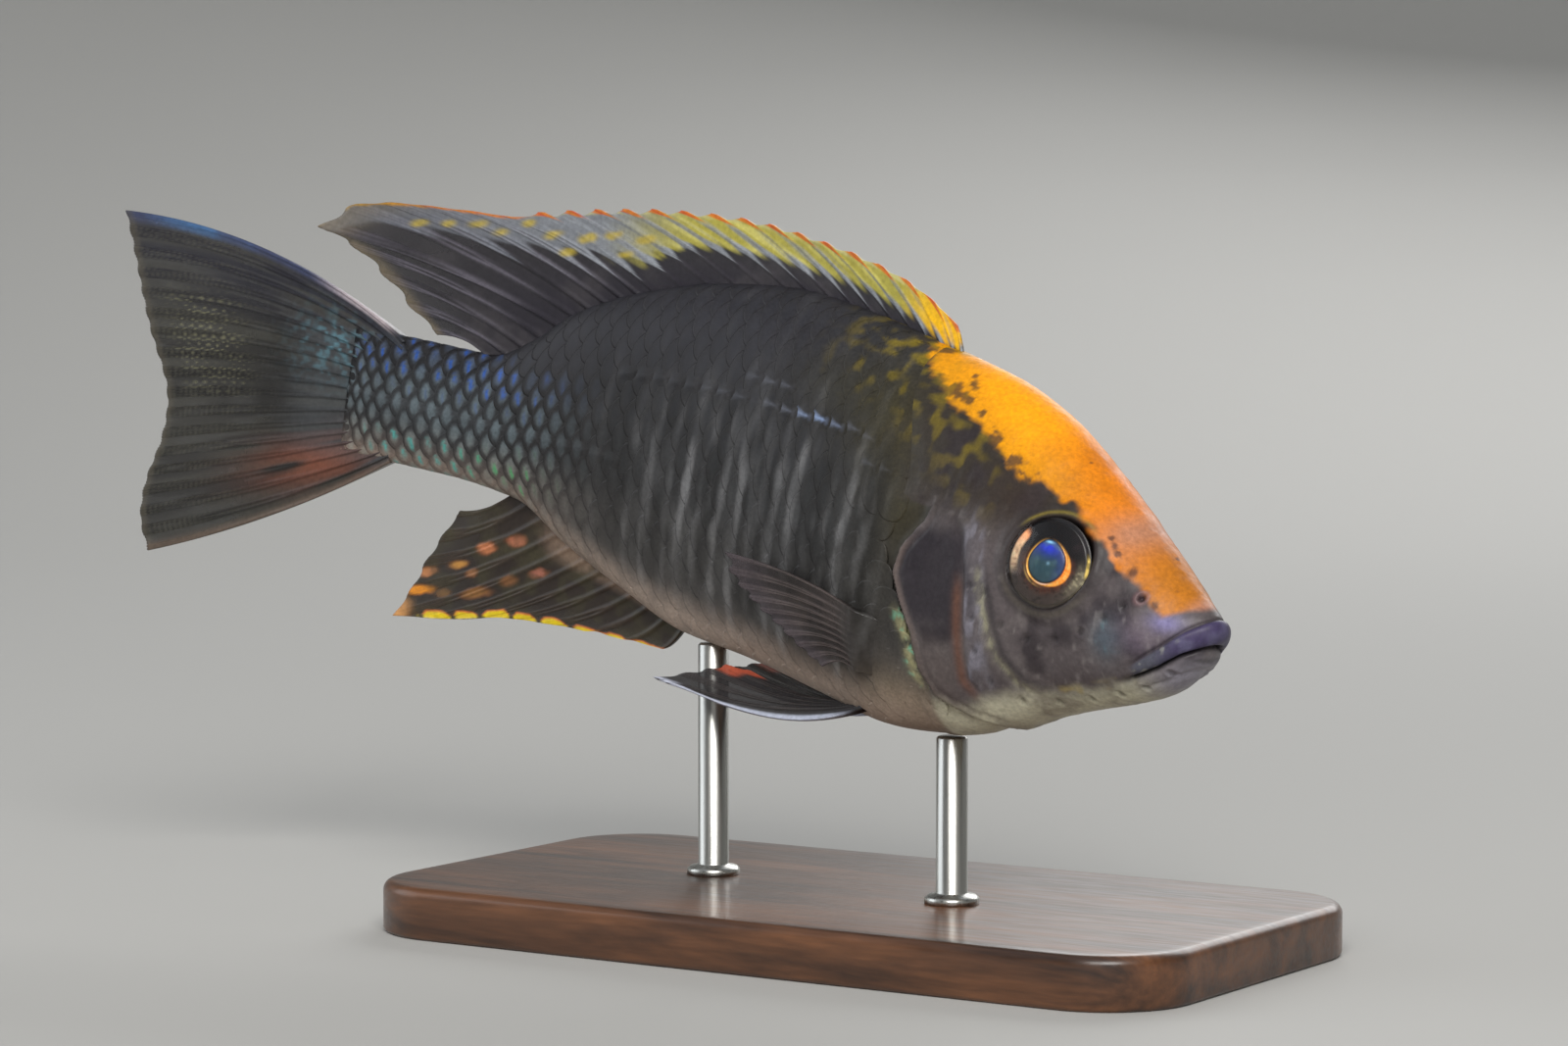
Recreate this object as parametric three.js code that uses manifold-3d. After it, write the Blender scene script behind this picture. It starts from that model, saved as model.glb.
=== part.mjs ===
// A peacock cichlid as a still, life-size display model, in millimetres, +Z up.
// The fish swims along +X, a little nose down and gently curved, over a flat base with two rods.
// Every form is made on a straight fish: s runs back from the snout tip, y to the fish's left
// and z up from the body axis. Each finished solid is then bent into the pose.

import * as THREE from "three";
import { mergeVertices } from "three/addons/utils/BufferGeometryUtils.js";
import Module from "manifold-3d";

const wasm = await Module();
wasm.setup();
const { lerp } = THREE.MathUtils;

// Driving dimensions
const SL = 104; // from s = 0, just ahead of the snout, to the root of the tail fin
const TIP = 0.0115; // of SL, where the skin of the snout starts behind the lips
const GAP = 0.3; // between neighbouring pieces
const PITCH = THREE.MathUtils.degToRad(9.9); // nose down
const AXIS_HEIGHT = 41; // of the body axis at the bend centre above the floor
const BEND_CENTRE = 0.45 * SL;
const BODY_SIDES = 40;
const RING_SPACING = [[TIP * SL + 0.05, 2.2, 0.45], [2.2, 5, 0.9], [5, 34, 1.4], [34, 88, 3], [88, SL, 3.2]];
const MERGE = 1e-4; // corners closer than this are the same corner
const WELD = 2e-3; // and in a finished solid, those closer than this
const SMALLEST_PIECE = 5; // cubic millimetres: less is a scrap of a cut
const CUT_REACH = 20; // of a cut to either side of the middle plane

// Outline of the body from the side and half its width, as shares of SL back from the snout
const BACK_LINE = [
  [TIP, -0.006], [0.035, 0.016], [0.07, 0.041], [0.115, 0.073], [0.165, 0.107], [0.22, 0.139],
  [0.28, 0.16], [0.355, 0.173], [0.45, 0.188], [0.54, 0.195], [0.64, 0.183], [0.73, 0.157],
  [0.8, 0.124], [0.845, 0.088], [0.89, 0.066], [1, 0.066],
];
const BELLY_LINE = [
  [TIP, -0.006], [0.0165, -0.022], [0.032, -0.049], [0.056, -0.0725], [0.09, -0.089], [0.13, -0.104],
  [0.18, -0.125], [0.23, -0.148], [0.29, -0.168], [0.37, -0.178], [0.45, -0.169], [0.54, -0.158],
  [0.62, -0.152], [0.7, -0.127], [0.77, -0.1], [0.84, -0.067], [0.92, -0.061], [1, -0.061],
];
const HALF_WIDTH = [
  [TIP, 0], [0.021, 0.02], [0.04, 0.036], [0.08, 0.054], [0.15, 0.07], [0.25, 0.083], [0.35, 0.087],
  [0.5, 0.078], [0.65, 0.06], [0.8, 0.037], [0.9, 0.025], [1, 0.016],
];
const WIDEST_SHARE = 0.52; // how far down from back to belly the body is widest
const ROUND_ABOVE = 1.85; // section exponents: 2 is an ellipse
const ROUND_BELOW = 2.1;

// Heading of the body in degrees, nose to the fish's right, as shares of SL
const HEADING = [[0.27, 12], [0.5, 5.5], [0.7, 0], [0.86, -3], [1, -7], [1.25, -16]];

// Lines on the side of the head, as [s, z]
const GILL_OPENING = [
  [30.2, 21], [30.2, 8], [30.9, 3.2], [33.0, 0.4], [33.6, -2.2], [32.4, -4.6], [30.8, -7.4],
  [29.9, -10.6], [28.3, -13], [24.8, -14.2], [19.5, -15.2],
];
const MOUTH_LINE = [[-2, -1.35], [0.5, -1.6], [1.6, -2.1], [3.1, -3.1], [4.8, -4.6], [6.9, -6]];
const JAW_REAR = [[6.9, -6], [9.2, -7.2], [12.6, -8.9], [14.6, -12.6]];
const COVER_FRONT = [[28.2, 2.8], [25.6, 1.4], [24.6, -1.6], [24.2, -6], [23.2, -10.2], [22.4, -13.2]];
const STALK_CUT = [[0.885 * SL, 12], [0.885 * SL, -12]];

const materials = {
  skin: new THREE.MeshStandardMaterial({ color: 0x37373b, roughness: 0.42, metalness: 0 }),
  head: new THREE.MeshStandardMaterial({ color: 0x8a6a3c, roughness: 0.42, metalness: 0 }),
  fin: new THREE.MeshStandardMaterial({ color: 0x2c2c30, roughness: 0.5, metalness: 0 }),
  eye: new THREE.MeshStandardMaterial({ color: 0x101418, roughness: 0.08, metalness: 0 }),
  base: new THREE.MeshStandardMaterial({ color: 0x4a3020, roughness: 0.45, metalness: 0 }),
  rod: new THREE.MeshStandardMaterial({ color: 0xb8b8b4, roughness: 0.3, metalness: 1 }),
};

// Smooth curve through knots with no overshoot. The root of the distance from the snout tip
// is the variable, so that a line that starts there leaves it as round as a nose.
function profile(knots) {
  const rootOf = (share) => Math.sqrt(Math.max(share - TIP, 0));
  const x = knots.map((k) => rootOf(k[0]));
  const v = knots.map((k) => k[1]);
  const slope = x.slice(1).map((_, i) => (v[i + 1] - v[i]) / (x[i + 1] - x[i]));
  const tangent = x.map((_, i) => {
    if (i === 0) return slope[0];
    if (i === x.length - 1) return slope[i - 1];
    const [a, b] = [slope[i - 1], slope[i]];
    return a * b <= 0 ? 0 : (2 * a * b) / (a + b);
  });
  return (share) => {
    const t = rootOf(share);
    if (t <= x[0]) return v[0];
    if (t >= x[x.length - 1]) return v[x.length - 1];
    const i = x.findIndex((_, k) => t < x[k + 1]);
    const h = x[i + 1] - x[i];
    const q = (t - x[i]) / h;
    const rise = q * q * (3 - 2 * q);
    const in0 = q * (1 - q) * (1 - q) * h * tangent[i];
    const in1 = q * q * (q - 1) * h * tangent[i + 1];
    return v[i] * (1 - rise) + v[i + 1] * rise + in0 + in1;
  };
}

const backLine = profile(BACK_LINE);
const bellyLine = profile(BELLY_LINE);
const halfWidth = profile(HALF_WIDTH);
const headingAt = profile(HEADING);

// Section of the body at s, drawn outwards by grow
function section(s, grow = 0) {
  const top = backLine(s / SL) * SL + grow;
  const bottom = bellyLine(s / SL) * SL - grow;
  const middle = top + (bottom - top) * WIDEST_SHARE;
  return { top, bottom, middle, half: halfWidth(s / SL) * SL + grow };
}

// Half width of the body at height z
function sideAt(s, z, grow = 0) {
  const { top, bottom, middle, half } = section(s, grow);
  const above = z > middle;
  const reach = above ? top - middle : middle - bottom;
  const power = above ? ROUND_ABOVE : ROUND_BELOW;
  const share = Math.min(1, Math.abs(z - middle) / reach);
  return half * (1 - share ** power) ** (1 / power);
}

function sectionRing(s, grow = 0) {
  const { top, bottom, middle, half } = section(s, grow);
  const ring = [];
  for (let i = 0; i < BODY_SIDES; i += 1) {
    const angle = (2 * Math.PI * i) / BODY_SIDES;
    const [c, n] = [Math.cos(angle), Math.sin(angle)];
    const power = 2 / (n > 0 ? ROUND_ABOVE : ROUND_BELOW);
    const rise = Math.abs(n) ** power * (n > 0 ? top - middle : bottom - middle);
    ring.push(new THREE.Vector3(s, Math.sign(c) * Math.abs(c) ** power * half, middle + rise));
  }
  return ring;
}

// Closed surface over rings of points, with a point in the middle of each end
function loft(rings, start, end) {
  const sides = rings[0].length;
  const points = [start, ...rings.flat(), end];
  const index = [];
  const at = (ring, side) => 1 + ring * sides + (side % sides);
  for (let k = 0; k < sides; k += 1) {
    index.push(0, at(0, k), at(0, k + 1));
    index.push(points.length - 1, at(rings.length - 1, k + 1), at(rings.length - 1, k));
    for (let r = 0; r + 1 < rings.length; r += 1) {
      index.push(at(r, k), at(r + 1, k), at(r, k + 1));
      index.push(at(r, k + 1), at(r + 1, k), at(r + 1, k + 1));
    }
  }
  return new THREE.BufferGeometry().setFromPoints(points).setIndex(index);
}

function toSolid(geometry, tolerance = MERGE) {
  const bare = geometry.clone();
  bare.deleteAttribute("normal");
  bare.deleteAttribute("uv");
  const merged = mergeVertices(bare, tolerance);
  const triangles = [];
  for (let i = 0; i < merged.index.count; i += 3) {
    const [a, b, c] = [0, 1, 2].map((k) => merged.index.getX(i + k));
    if (a !== b && b !== c && c !== a) triangles.push(a, b, c);
  }
  const make = (triVerts) => new wasm.Manifold(new wasm.Mesh({
    numProp: 3,
    vertProperties: new Float32Array(merged.attributes.position.array),
    triVerts: new Uint32Array(triVerts),
  }));
  const solid = make(triangles);
  if (solid.volume() > 0) return solid;
  for (let i = 0; i < triangles.length; i += 3) {
    [triangles[i + 1], triangles[i + 2]] = [triangles[i + 2], triangles[i + 1]];
  }
  return make(triangles);
}

function largest(solid) {
  return solid.decompose().sort((a, b) => b.volume() - a.volume())[0];
}

// Pieces of a cut solid, from the snout back
function piecesFromFront(solid) {
  const middle = (piece) => piece.boundingBox().min[0] + piece.boundingBox().max[0];
  const big = solid.decompose().filter((piece) => piece.volume() > SMALLEST_PIECE);
  return big.sort((a, b) => middle(a) - middle(b));
}

function bodySolid(grow, from = 0) {
  const rings = [];
  for (const [start, end, step] of RING_SPACING) {
    const count = Math.round((end - start) / step);
    for (let i = 0; i < count; i += 1) {
      const s = start + ((end - start) * i) / count;
      if (s >= from) rings.push(sectionRing(s, grow));
    }
  }
  rings.push(sectionRing(SL, grow));
  const middle = (s) => new THREE.Vector3(s, 0, section(s).middle);
  return toSolid(loft(rings, middle(from), middle(SL)));
}

// Prism across the fish over an outline of [s, z] points
function prism(outline, yFrom, yTo) {
  const shape = new THREE.Shape(outline.map(([s, z]) => new THREE.Vector2(s, z)));
  const geometry = new THREE.ExtrudeGeometry(shape, { depth: yTo - yFrom, bevelEnabled: false });
  return toSolid(geometry.rotateX(Math.PI / 2).translate(0, yTo, 0));
}

// Points beside a line of [s, z] points, at a distance to its left
function besideLine(line, distance) {
  return line.map(([s, z], i) => {
    const [a, b] = [line[Math.max(i - 1, 0)], line[Math.min(i + 1, line.length - 1)]];
    const length = Math.hypot(b[0] - a[0], b[1] - a[1]);
    return [s - ((b[1] - a[1]) / length) * distance, z + ((b[0] - a[0]) / length) * distance];
  });
}

function slab(line, thickness) {
  const outline = [...besideLine(line, thickness / 2), ...besideLine(line, -thickness / 2).reverse()];
  return prism(outline, -CUT_REACH, CUT_REACH);
}

// Height of the mouth line at s
function mouthHeight(s) {
  const last = MOUTH_LINE.length - 2;
  const i = MOUTH_LINE.findIndex((_, k) => k === last || s < MOUTH_LINE[k + 1][0]);
  const [[s0, z0], [s1, z1]] = [MOUTH_LINE[i], MOUTH_LINE[i + 1]];
  return z0 + ((z1 - z0) * (s - s0)) / (s1 - s0);
}

const BEAD_SIDES = 8;

// Round bead along a path of { at, radius }, its sections set square to the path and to up
function bead(path, up, closed) {
  const sides = BEAD_SIDES;
  const count = path.length;
  const pick = (i) => path[closed ? (i + count) % count : Math.min(Math.max(i, 0), count - 1)].at;
  const rings = path.map(({ at, radius }, i) => {
    const ahead = pick(i + 1).clone().sub(pick(i - 1)).normalize();
    const upright = up.clone().addScaledVector(ahead, -ahead.dot(up)).normalize();
    const out = ahead.clone().cross(upright);
    return Array.from({ length: sides }, (_, k) => {
      const angle = (2 * Math.PI * k) / sides;
      const sideways = out.clone().multiplyScalar(radius * Math.cos(angle));
      return sideways.addScaledVector(upright, radius * Math.sin(angle)).add(at);
    });
  });
  if (closed) rings.push(rings[0]);
  const geometry = loft(rings, path[0].at, path[count - 1].at);
  if (!closed) return toSolid(geometry);
  const index = Array.from(geometry.index.array);
  const ends = [0, geometry.attributes.position.count - 1];
  const sideTriangles = [];
  for (let i = 0; i < index.length; i += 3) {
    const corners = index.slice(i, i + 3);
    if (!corners.some((c) => ends.includes(c))) sideTriangles.push(...corners);
  }
  return toSolid(geometry.setIndex(sideTriangles));
}

// Lips, each from corner to corner of the mouth. rise is the height over the mouth line in radii,
// and sunk is how far a lip lies in the skin, also in radii.
const LIPS = {
  steps: 22, corner: 7.2, sunk: 0.6,
  upper: { front: 1.85, rise: 1.05, frontRadius: 0.85, cornerRadius: 0.5 },
  lower: { front: 2.2, rise: -1.05, frontRadius: 0.6, cornerRadius: 0.4 },
};

function lip({ front, rise, frontRadius, cornerRadius }) {
  const path = [];
  for (let i = 0; i <= LIPS.steps; i += 1) {
    const t = (2 * i) / LIPS.steps - 1;
    const s = front + (LIPS.corner - front) * t * t;
    const radius = lerp(frontRadius, cornerRadius, Math.abs(t));
    const z = mouthHeight(s) + rise * radius;
    const y = Math.sign(t) * Math.max(0, sideAt(s, z) - radius * LIPS.sunk);
    path.push({ at: new THREE.Vector3(s, y, z), radius });
  }
  return bead(path, new THREE.Vector3(0, 0, 1), false);
}

// Bead round a point on the side of the head, sunk by a share of its radius
const RING_SUNK = 0.2;

function surfaceRing(side, centre, ringRadius, radius, steps) {
  const path = [];
  for (let i = 0; i < steps; i += 1) {
    const angle = (2 * Math.PI * i) / steps;
    const s = centre.s + ringRadius * Math.cos(angle);
    const z = centre.z + ringRadius * Math.sin(angle);
    path.push({ at: new THREE.Vector3(s, side * (sideAt(s, z) - radius * RING_SUNK), z), radius });
  }
  return bead(path, new THREE.Vector3(0, side, 0), true);
}

// Direction straight out of the body at s, z
function outwardAt(side, s, z) {
  const step = 0.2;
  const widening = (sideAt(s + step, z) - sideAt(s - step, z)) / (2 * step);
  const leaning = (sideAt(s, z + step) - sideAt(s, z - step)) / (2 * step);
  return new THREE.Vector3(-widening, side, -leaning).normalize();
}

// Eyes, each a flattened ball set square to the side of the head
const EYE = { s: 16.6, z: 2.4, radius: 4.6, depth: 2.3, sunk: 1.05 };
const ORBIT = { radius: 4.45, bead: 0.45, steps: 24 };

function eyeFrame(side) {
  const outward = outwardAt(side, EYE.s, EYE.z);
  const place = new THREE.Vector3(EYE.s, side * sideAt(EYE.s, EYE.z), EYE.z);
  const turn = new THREE.Quaternion().setFromUnitVectors(new THREE.Vector3(0, side, 0), outward);
  const unscaled = new THREE.Vector3(1, 1, 1);
  return new THREE.Matrix4().compose(place.addScaledVector(outward, -EYE.sunk), turn, unscaled);
}

function eyeSolid(side, grow = 0) {
  const ball = new THREE.SphereGeometry(1, 18, 10);
  ball.scale(EYE.radius + grow, EYE.depth + grow, EYE.radius + grow);
  return toSolid(ball.applyMatrix4(eyeFrame(side)));
}

function orbitRim(side) {
  return surfaceRing(side, EYE, ORBIT.radius, ORBIT.bead, ORBIT.steps);
}

// The single nostril on each side of the snout
const NOSTRIL = { s: 7.4, z: 1.2, radius: 0.62, bead: 0.26, steps: 10, pit: 0.42 };

function nostrilRim(side) {
  return surfaceRing(side, NOSTRIL, NOSTRIL.radius, NOSTRIL.bead, NOSTRIL.steps);
}

function nostrilPit(side) {
  const ball = new THREE.SphereGeometry(NOSTRIL.pit, 8, 6);
  return toSolid(ball.translate(NOSTRIL.s, side * sideAt(NOSTRIL.s, NOSTRIL.z), NOSTRIL.z));
}

// Gill covers: plates let into the sides of the head
const COVER = { proud: 0.3, thick: 1.3, from: 12, centre: [28, -5], offMiddle: 0.6 };
const COVER_REAR = GILL_OPENING.slice(2, 10);
const COVER_CLEARANCE = GAP / 2 + 0.02;

function coverOutline(grow) {
  const outline = [...besideLine(COVER_REAR, -COVER_CLEARANCE), ...[...COVER_FRONT].reverse()];
  const [centreS, centreZ] = COVER.centre;
  return outline.map(([s, z]) => {
    const share = grow / Math.hypot(s - centreS, z - centreZ);
    return [s + (s - centreS) * share, z + (z - centreZ) * share];
  });
}

function coverPrism(side, grow) {
  const [near, far] = [side * COVER.offMiddle, side * CUT_REACH].sort((a, b) => a - b);
  return prism(coverOutline(grow), near, far);
}

function gillCover(side) {
  const shell = bodySolid(COVER.proud, COVER.from).subtract(bodySolid(-COVER.thick, COVER.from));
  return largest(shell.intersect(coverPrism(side, 0)));
}

// Fins: half thickness of a ray at its tip, and of the membrane between rays
const RAY_TIP_HALF = 0.27;
const WEB_HALF = 0.26;

// Closed sheet on a grid of centre points, half[i][j] thick to either side
function sheet(centre, half) {
  const [columns, rows] = [centre.length, centre[0].length];
  const normalAt = (i, j) => {
    const across = centre[Math.min(i + 1, columns - 1)][j].clone().sub(centre[Math.max(i - 1, 0)][j]);
    const along = centre[i][Math.min(j + 1, rows - 1)].clone().sub(centre[i][Math.max(j - 1, 0)]);
    return across.cross(along).normalize();
  };
  const face = (sign) => centre.flatMap((column, i) =>
    column.map((point, j) => point.clone().addScaledVector(normalAt(i, j), sign * half[i][j])));
  const points = [...face(1), ...face(-1)];
  const back = columns * rows;
  const at = (i, j) => i * rows + j;
  const index = [];
  for (let i = 0; i + 1 < columns; i += 1) {
    for (let j = 0; j + 1 < rows; j += 1) {
      const [a, b, c, d] = [at(i, j), at(i + 1, j), at(i + 1, j + 1), at(i, j + 1)];
      index.push(a, b, c, a, c, d, back + a, back + c, back + b, back + a, back + d, back + c);
    }
  }
  const edge = [];
  for (let i = 0; i < columns; i += 1) edge.push(at(i, 0));
  for (let j = 1; j < rows; j += 1) edge.push(at(columns - 1, j));
  for (let i = columns - 2; i >= 0; i -= 1) edge.push(at(i, rows - 1));
  for (let j = rows - 2; j > 0; j -= 1) edge.push(at(0, j));
  edge.forEach((a, k) => {
    const b = edge[(k + 1) % edge.length];
    index.push(a, back + a, back + b, a, back + b, b);
  });
  return toSolid(new THREE.BufferGeometry().setFromPoints(points).setIndex(index));
}

// Fin of rays joined by a membrane. rayPoint(k, t) gives ray k at t from root to tip.
// Between rays the membrane is thinner and its edge is drawn in by notch(k).
function rayedFin({ rays, rows, rayPoint, notch, rayHalf, webHalf }) {
  const centre = [];
  const half = [];
  for (let i = 0; i <= 2 * (rays - 1); i += 1) {
    const k = i / 2;
    const onRay = i % 2 === 0;
    const reach = onRay ? 1 : 1 - notch(k);
    const column = [];
    const thickness = [];
    for (let j = 0; j <= rows; j += 1) {
      const t = (j / rows) * reach;
      const [before, after] = [rayPoint(Math.floor(k), t), rayPoint(Math.ceil(k), t)];
      column.push(before.clone().add(after).multiplyScalar(0.5));
      thickness.push(onRay ? rayHalf(k, t) : webHalf(k, t));
    }
    centre.push(column);
    half.push(thickness);
  }
  return sheet(centre, half);
}

// Ray in the middle plane from root to tip, bowed by rise over its chord
function medianRay(root, tip, t, bow) {
  const lift = 4 * t * (1 - t) * bow;
  return new THREE.Vector3(lerp(root.x, tip.x, t), 0, lerp(root.y, tip.y, t) + lift);
}

const DORSAL = {
  spines: 16, softRays: 10, rearRays: 4, rows: 6,
  firstRoot: 36.3, lastSpineRoot: 72.7, lastRoot: 91.2, sunk: 1.6,
  spineLean: 1.45, // over 1 draws the front spines' roots together, so that the spines lie back
  spineHalf: 0.62, rayHalf: 0.5, spineBow: 0.5, rayBow: 1, spineNotch: 0.08, rayNotch: 0.03,
  spineMargin: [
    [38.2, 20.2], [42.9, 22.5], [48, 24], [55, 25], [64, 25.5], [73, 24.9], [81, 23.6], [88.7, 22],
  ],
  softMargin: [[92.4, 20.9], [98.5, 20.6], [106, 20], [111.4, 18.8], [115, 16]],
  rearMargin: [[115, 16], [111.4, 14.9], [107.2, 12.5], [103, 9.5], [99.6, 7.5]],
};

const spline = (points) => new THREE.SplineCurve(points.map(([s, z]) => new THREE.Vector2(s, z)));

function dorsalFin() {
  const { spines, softRays, rearRays } = DORSAL;
  const spineMargin = spline(DORSAL.spineMargin);
  const softMargin = spline(DORSAL.softMargin);
  const rearMargin = spline(DORSAL.rearMargin);
  const upper = softRays - rearRays - 1;
  const tipOf = (k) => {
    if (k < spines) return spineMargin.getPointAt(k / (spines - 1));
    const soft = k - spines;
    if (soft <= upper) return softMargin.getPointAt(soft / upper);
    return rearMargin.getPointAt((soft - upper) / rearRays);
  };
  const rootOf = (k) => {
    const s = k < spines
      ? lerp(DORSAL.firstRoot, DORSAL.lastSpineRoot, (k / (spines - 1)) ** DORSAL.spineLean)
      : lerp(DORSAL.lastSpineRoot, DORSAL.lastRoot, (k - spines + 1) / softRays);
    return new THREE.Vector2(s, section(s).top - DORSAL.sunk);
  };
  return rayedFin({
    rays: spines + softRays,
    rows: DORSAL.rows,
    rayPoint: (k, t) => medianRay(rootOf(k), tipOf(k), t, k < spines ? DORSAL.spineBow : DORSAL.rayBow),
    notch: (k) => (k < spines ? DORSAL.spineNotch : DORSAL.rayNotch),
    rayHalf: (k, t) => lerp(k < spines ? DORSAL.spineHalf : DORSAL.rayHalf, RAY_TIP_HALF, t),
    webHalf: () => WEB_HALF,
  });
}

const ANAL = {
  spines: 3, rays: 12, rearRays: 4, rows: 7,
  firstRoot: 64.6, lastRoot: 86.6, sunk: 1.6,
  spineHalf: 0.6, rayHalf: 0.5, bow: -0.8, spineNotch: 0.14, rayNotch: 0.03,
  lowerMargin: [[67.6, -18], [74, -18.2], [80.5, -18.5], [87, -19.2], [93.5, -20.8], [100.2, -21.9]],
  rearMargin: [[100.2, -21.9], [98.6, -18.9], [97.3, -15.8], [95.8, -12.8], [94, -9.6]],
};

function analFin() {
  const lowerMargin = spline(ANAL.lowerMargin);
  const rearMargin = spline(ANAL.rearMargin);
  const lower = ANAL.rays - ANAL.rearRays - 1;
  const tipOf = (k) => (k <= lower
    ? lowerMargin.getPointAt(k / lower)
    : rearMargin.getPointAt((k - lower) / ANAL.rearRays));
  const rootOf = (k) => {
    const s = lerp(ANAL.firstRoot, ANAL.lastRoot, k / (ANAL.rays - 1));
    return new THREE.Vector2(s, section(s).bottom + ANAL.sunk);
  };
  return rayedFin({
    rays: ANAL.rays,
    rows: ANAL.rows,
    rayPoint: (k, t) => medianRay(rootOf(k), tipOf(k), t, ANAL.bow),
    notch: (k) => (k < ANAL.spines ? ANAL.spineNotch : ANAL.rayNotch),
    rayHalf: (k, t) => lerp(k < ANAL.spines ? ANAL.spineHalf : ANAL.rayHalf, RAY_TIP_HALF, t),
    webHalf: () => WEB_HALF,
  });
}

// The tail fin is thicker over the first fleshShare of its length
const CAUDAL = {
  rays: 18, rows: 8, rootHalf: 6.3, rootAt: 102.6, upperBow: 2.4, lowerBow: -1,
  rayHalf: 0.55, notch: 0.025, flesh: 1.1, fleshShare: 0.22,
  margin: [
    [136.6, 14], [134.6, 8.6], [132.2, 2.6], [129.6, -3.4], [129.4, -8.4], [130.5, -13.6], [130.6, -17.6],
    [129.4, -20.9],
  ],
};

function caudalFin() {
  const margin = spline(CAUDAL.margin);
  const fleshAt = (t) => CAUDAL.flesh * Math.max(0, 1 - t / CAUDAL.fleshShare) ** 2;
  return rayedFin({
    rays: CAUDAL.rays,
    rows: CAUDAL.rows,
    rayPoint: (k, t) => {
      const share = k / (CAUDAL.rays - 1);
      const root = new THREE.Vector2(CAUDAL.rootAt, lerp(CAUDAL.rootHalf, -CAUDAL.rootHalf, share));
      return medianRay(root, margin.getPointAt(share), t, lerp(CAUDAL.upperBow, CAUDAL.lowerBow, share));
    },
    notch: () => CAUDAL.notch,
    rayHalf: (k, t) => lerp(CAUDAL.rayHalf, RAY_TIP_HALF, t) + fleshAt(t),
    webHalf: (k, t) => WEB_HALF + fleshAt(t),
  });
}

// The pectoral fins lie back along the flanks
const PECTORAL = {
  rays: 10, rows: 8, rayHalf: 0.42, notch: 0.04, bow: 0.9, rootShare: 0.16,
  upperRoot: [34.9, -7.6], lowerRoot: [37, -12.4], sunk: 1.4, standOff: 1, flare: 1,
  margin: [[54.5, -4.8], [53.4, -6.9], [50.6, -8.7], [47, -10.4], [43.4, -12.1], [41, -13]],
};

function pectoralFin(side) {
  const margin = spline(PECTORAL.margin);
  const rayPoint = (k, t) => {
    const share = k / (PECTORAL.rays - 1);
    const tip = margin.getPointAt(share);
    const rootS = lerp(PECTORAL.upperRoot[0], PECTORAL.lowerRoot[0], share);
    const rootZ = lerp(PECTORAL.upperRoot[1], PECTORAL.lowerRoot[1], share);
    const s = lerp(rootS, tip.x, t);
    const z = lerp(rootZ, tip.y, t) + PECTORAL.bow * Math.sin(Math.PI * t);
    const rise = THREE.MathUtils.smoothstep(t, 0, PECTORAL.rootShare);
    const off = lerp(-PECTORAL.sunk, PECTORAL.standOff, rise) + PECTORAL.flare * t * t;
    return new THREE.Vector3(s, side * (sideAt(s, z) + off), z);
  };
  return rayedFin({
    rays: PECTORAL.rays,
    rows: PECTORAL.rows,
    rayPoint,
    notch: () => PECTORAL.notch,
    rayHalf: (k, t) => lerp(PECTORAL.rayHalf, RAY_TIP_HALF, t),
    webHalf: () => WEB_HALF,
  });
}

// The pelvic fins trail under the belly: a spine and five rays, from the outer edge in.
// Roots are [s, y] and tips [s, y, z].
const PELVIC = {
  rays: 6, rows: 9, spineHalf: 0.55, rayHalf: 0.42, notch: 0.06, sag: 1.1, innerSag: 1, fall: 0.6,
  outerRoot: [38.2, 3.7], innerRoot: [39.8, 1.5], sunk: 1.3,
  tips: [
    [56.5, 4.5, -20.5], [65, 4.4, -19.9], [61.5, 4, -18.7], [59.2, 3.5, -17.8], [57.4, 3, -17],
    [54.6, 2.5, -17],
  ],
};

// Height of the belly at s, y to one side of the middle plane
function undersideAt(s, y) {
  const { middle, bottom, half } = section(s);
  return middle - (middle - bottom) * (1 - (y / half) ** ROUND_BELOW) ** (1 / ROUND_BELOW);
}

function pelvicFin(side) {
  const rayPoint = (k, t) => {
    const share = k / (PELVIC.rays - 1);
    const rootS = lerp(PELVIC.outerRoot[0], PELVIC.innerRoot[0], share);
    const rootY = lerp(PELVIC.outerRoot[1], PELVIC.innerRoot[1], share);
    const rootZ = undersideAt(rootS, rootY) + PELVIC.sunk;
    const [tipS, tipY, tipZ] = PELVIC.tips[k];
    const sag = lerp(PELVIC.sag, PELVIC.sag * PELVIC.innerSag, share) * Math.sin(Math.PI * t);
    const z = lerp(rootZ, tipZ, t ** PELVIC.fall) - sag;
    return new THREE.Vector3(lerp(rootS, tipS, t), side * lerp(rootY, tipY, t), z);
  };
  return rayedFin({
    rays: PELVIC.rays,
    rows: PELVIC.rows,
    rayPoint,
    notch: () => PELVIC.notch,
    rayHalf: (k, t) => lerp(k === 0 ? PELVIC.spineHalf : PELVIC.rayHalf, RAY_TIP_HALF, t),
    webHalf: () => WEB_HALF,
  });
}

// The pose: the centre line is bent sideways by the heading, then the fish is pitched and raised
const BEND_STEP = 0.5;
const BEND_FROM = -6;
const BEND_TO = 1.4 * SL;
const bendTable = (() => {
  const rows = [{ x: 0, y: 0 }];
  for (let s = BEND_FROM; s < BEND_TO; s += BEND_STEP) {
    const heading = THREE.MathUtils.degToRad(headingAt((s + BEND_STEP / 2) / SL));
    const { x, y } = rows[rows.length - 1];
    rows.push({ x: x - Math.cos(heading) * BEND_STEP, y: y + Math.sin(heading) * BEND_STEP });
  }
  return rows;
})();

function centreLine(s) {
  const k = Math.min(Math.max((s - BEND_FROM) / BEND_STEP, 0), bendTable.length - 2);
  const [a, b] = [bendTable[Math.floor(k)], bendTable[Math.floor(k) + 1]];
  return { x: lerp(a.x, b.x, k % 1), y: lerp(a.y, b.y, k % 1) };
}

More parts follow.
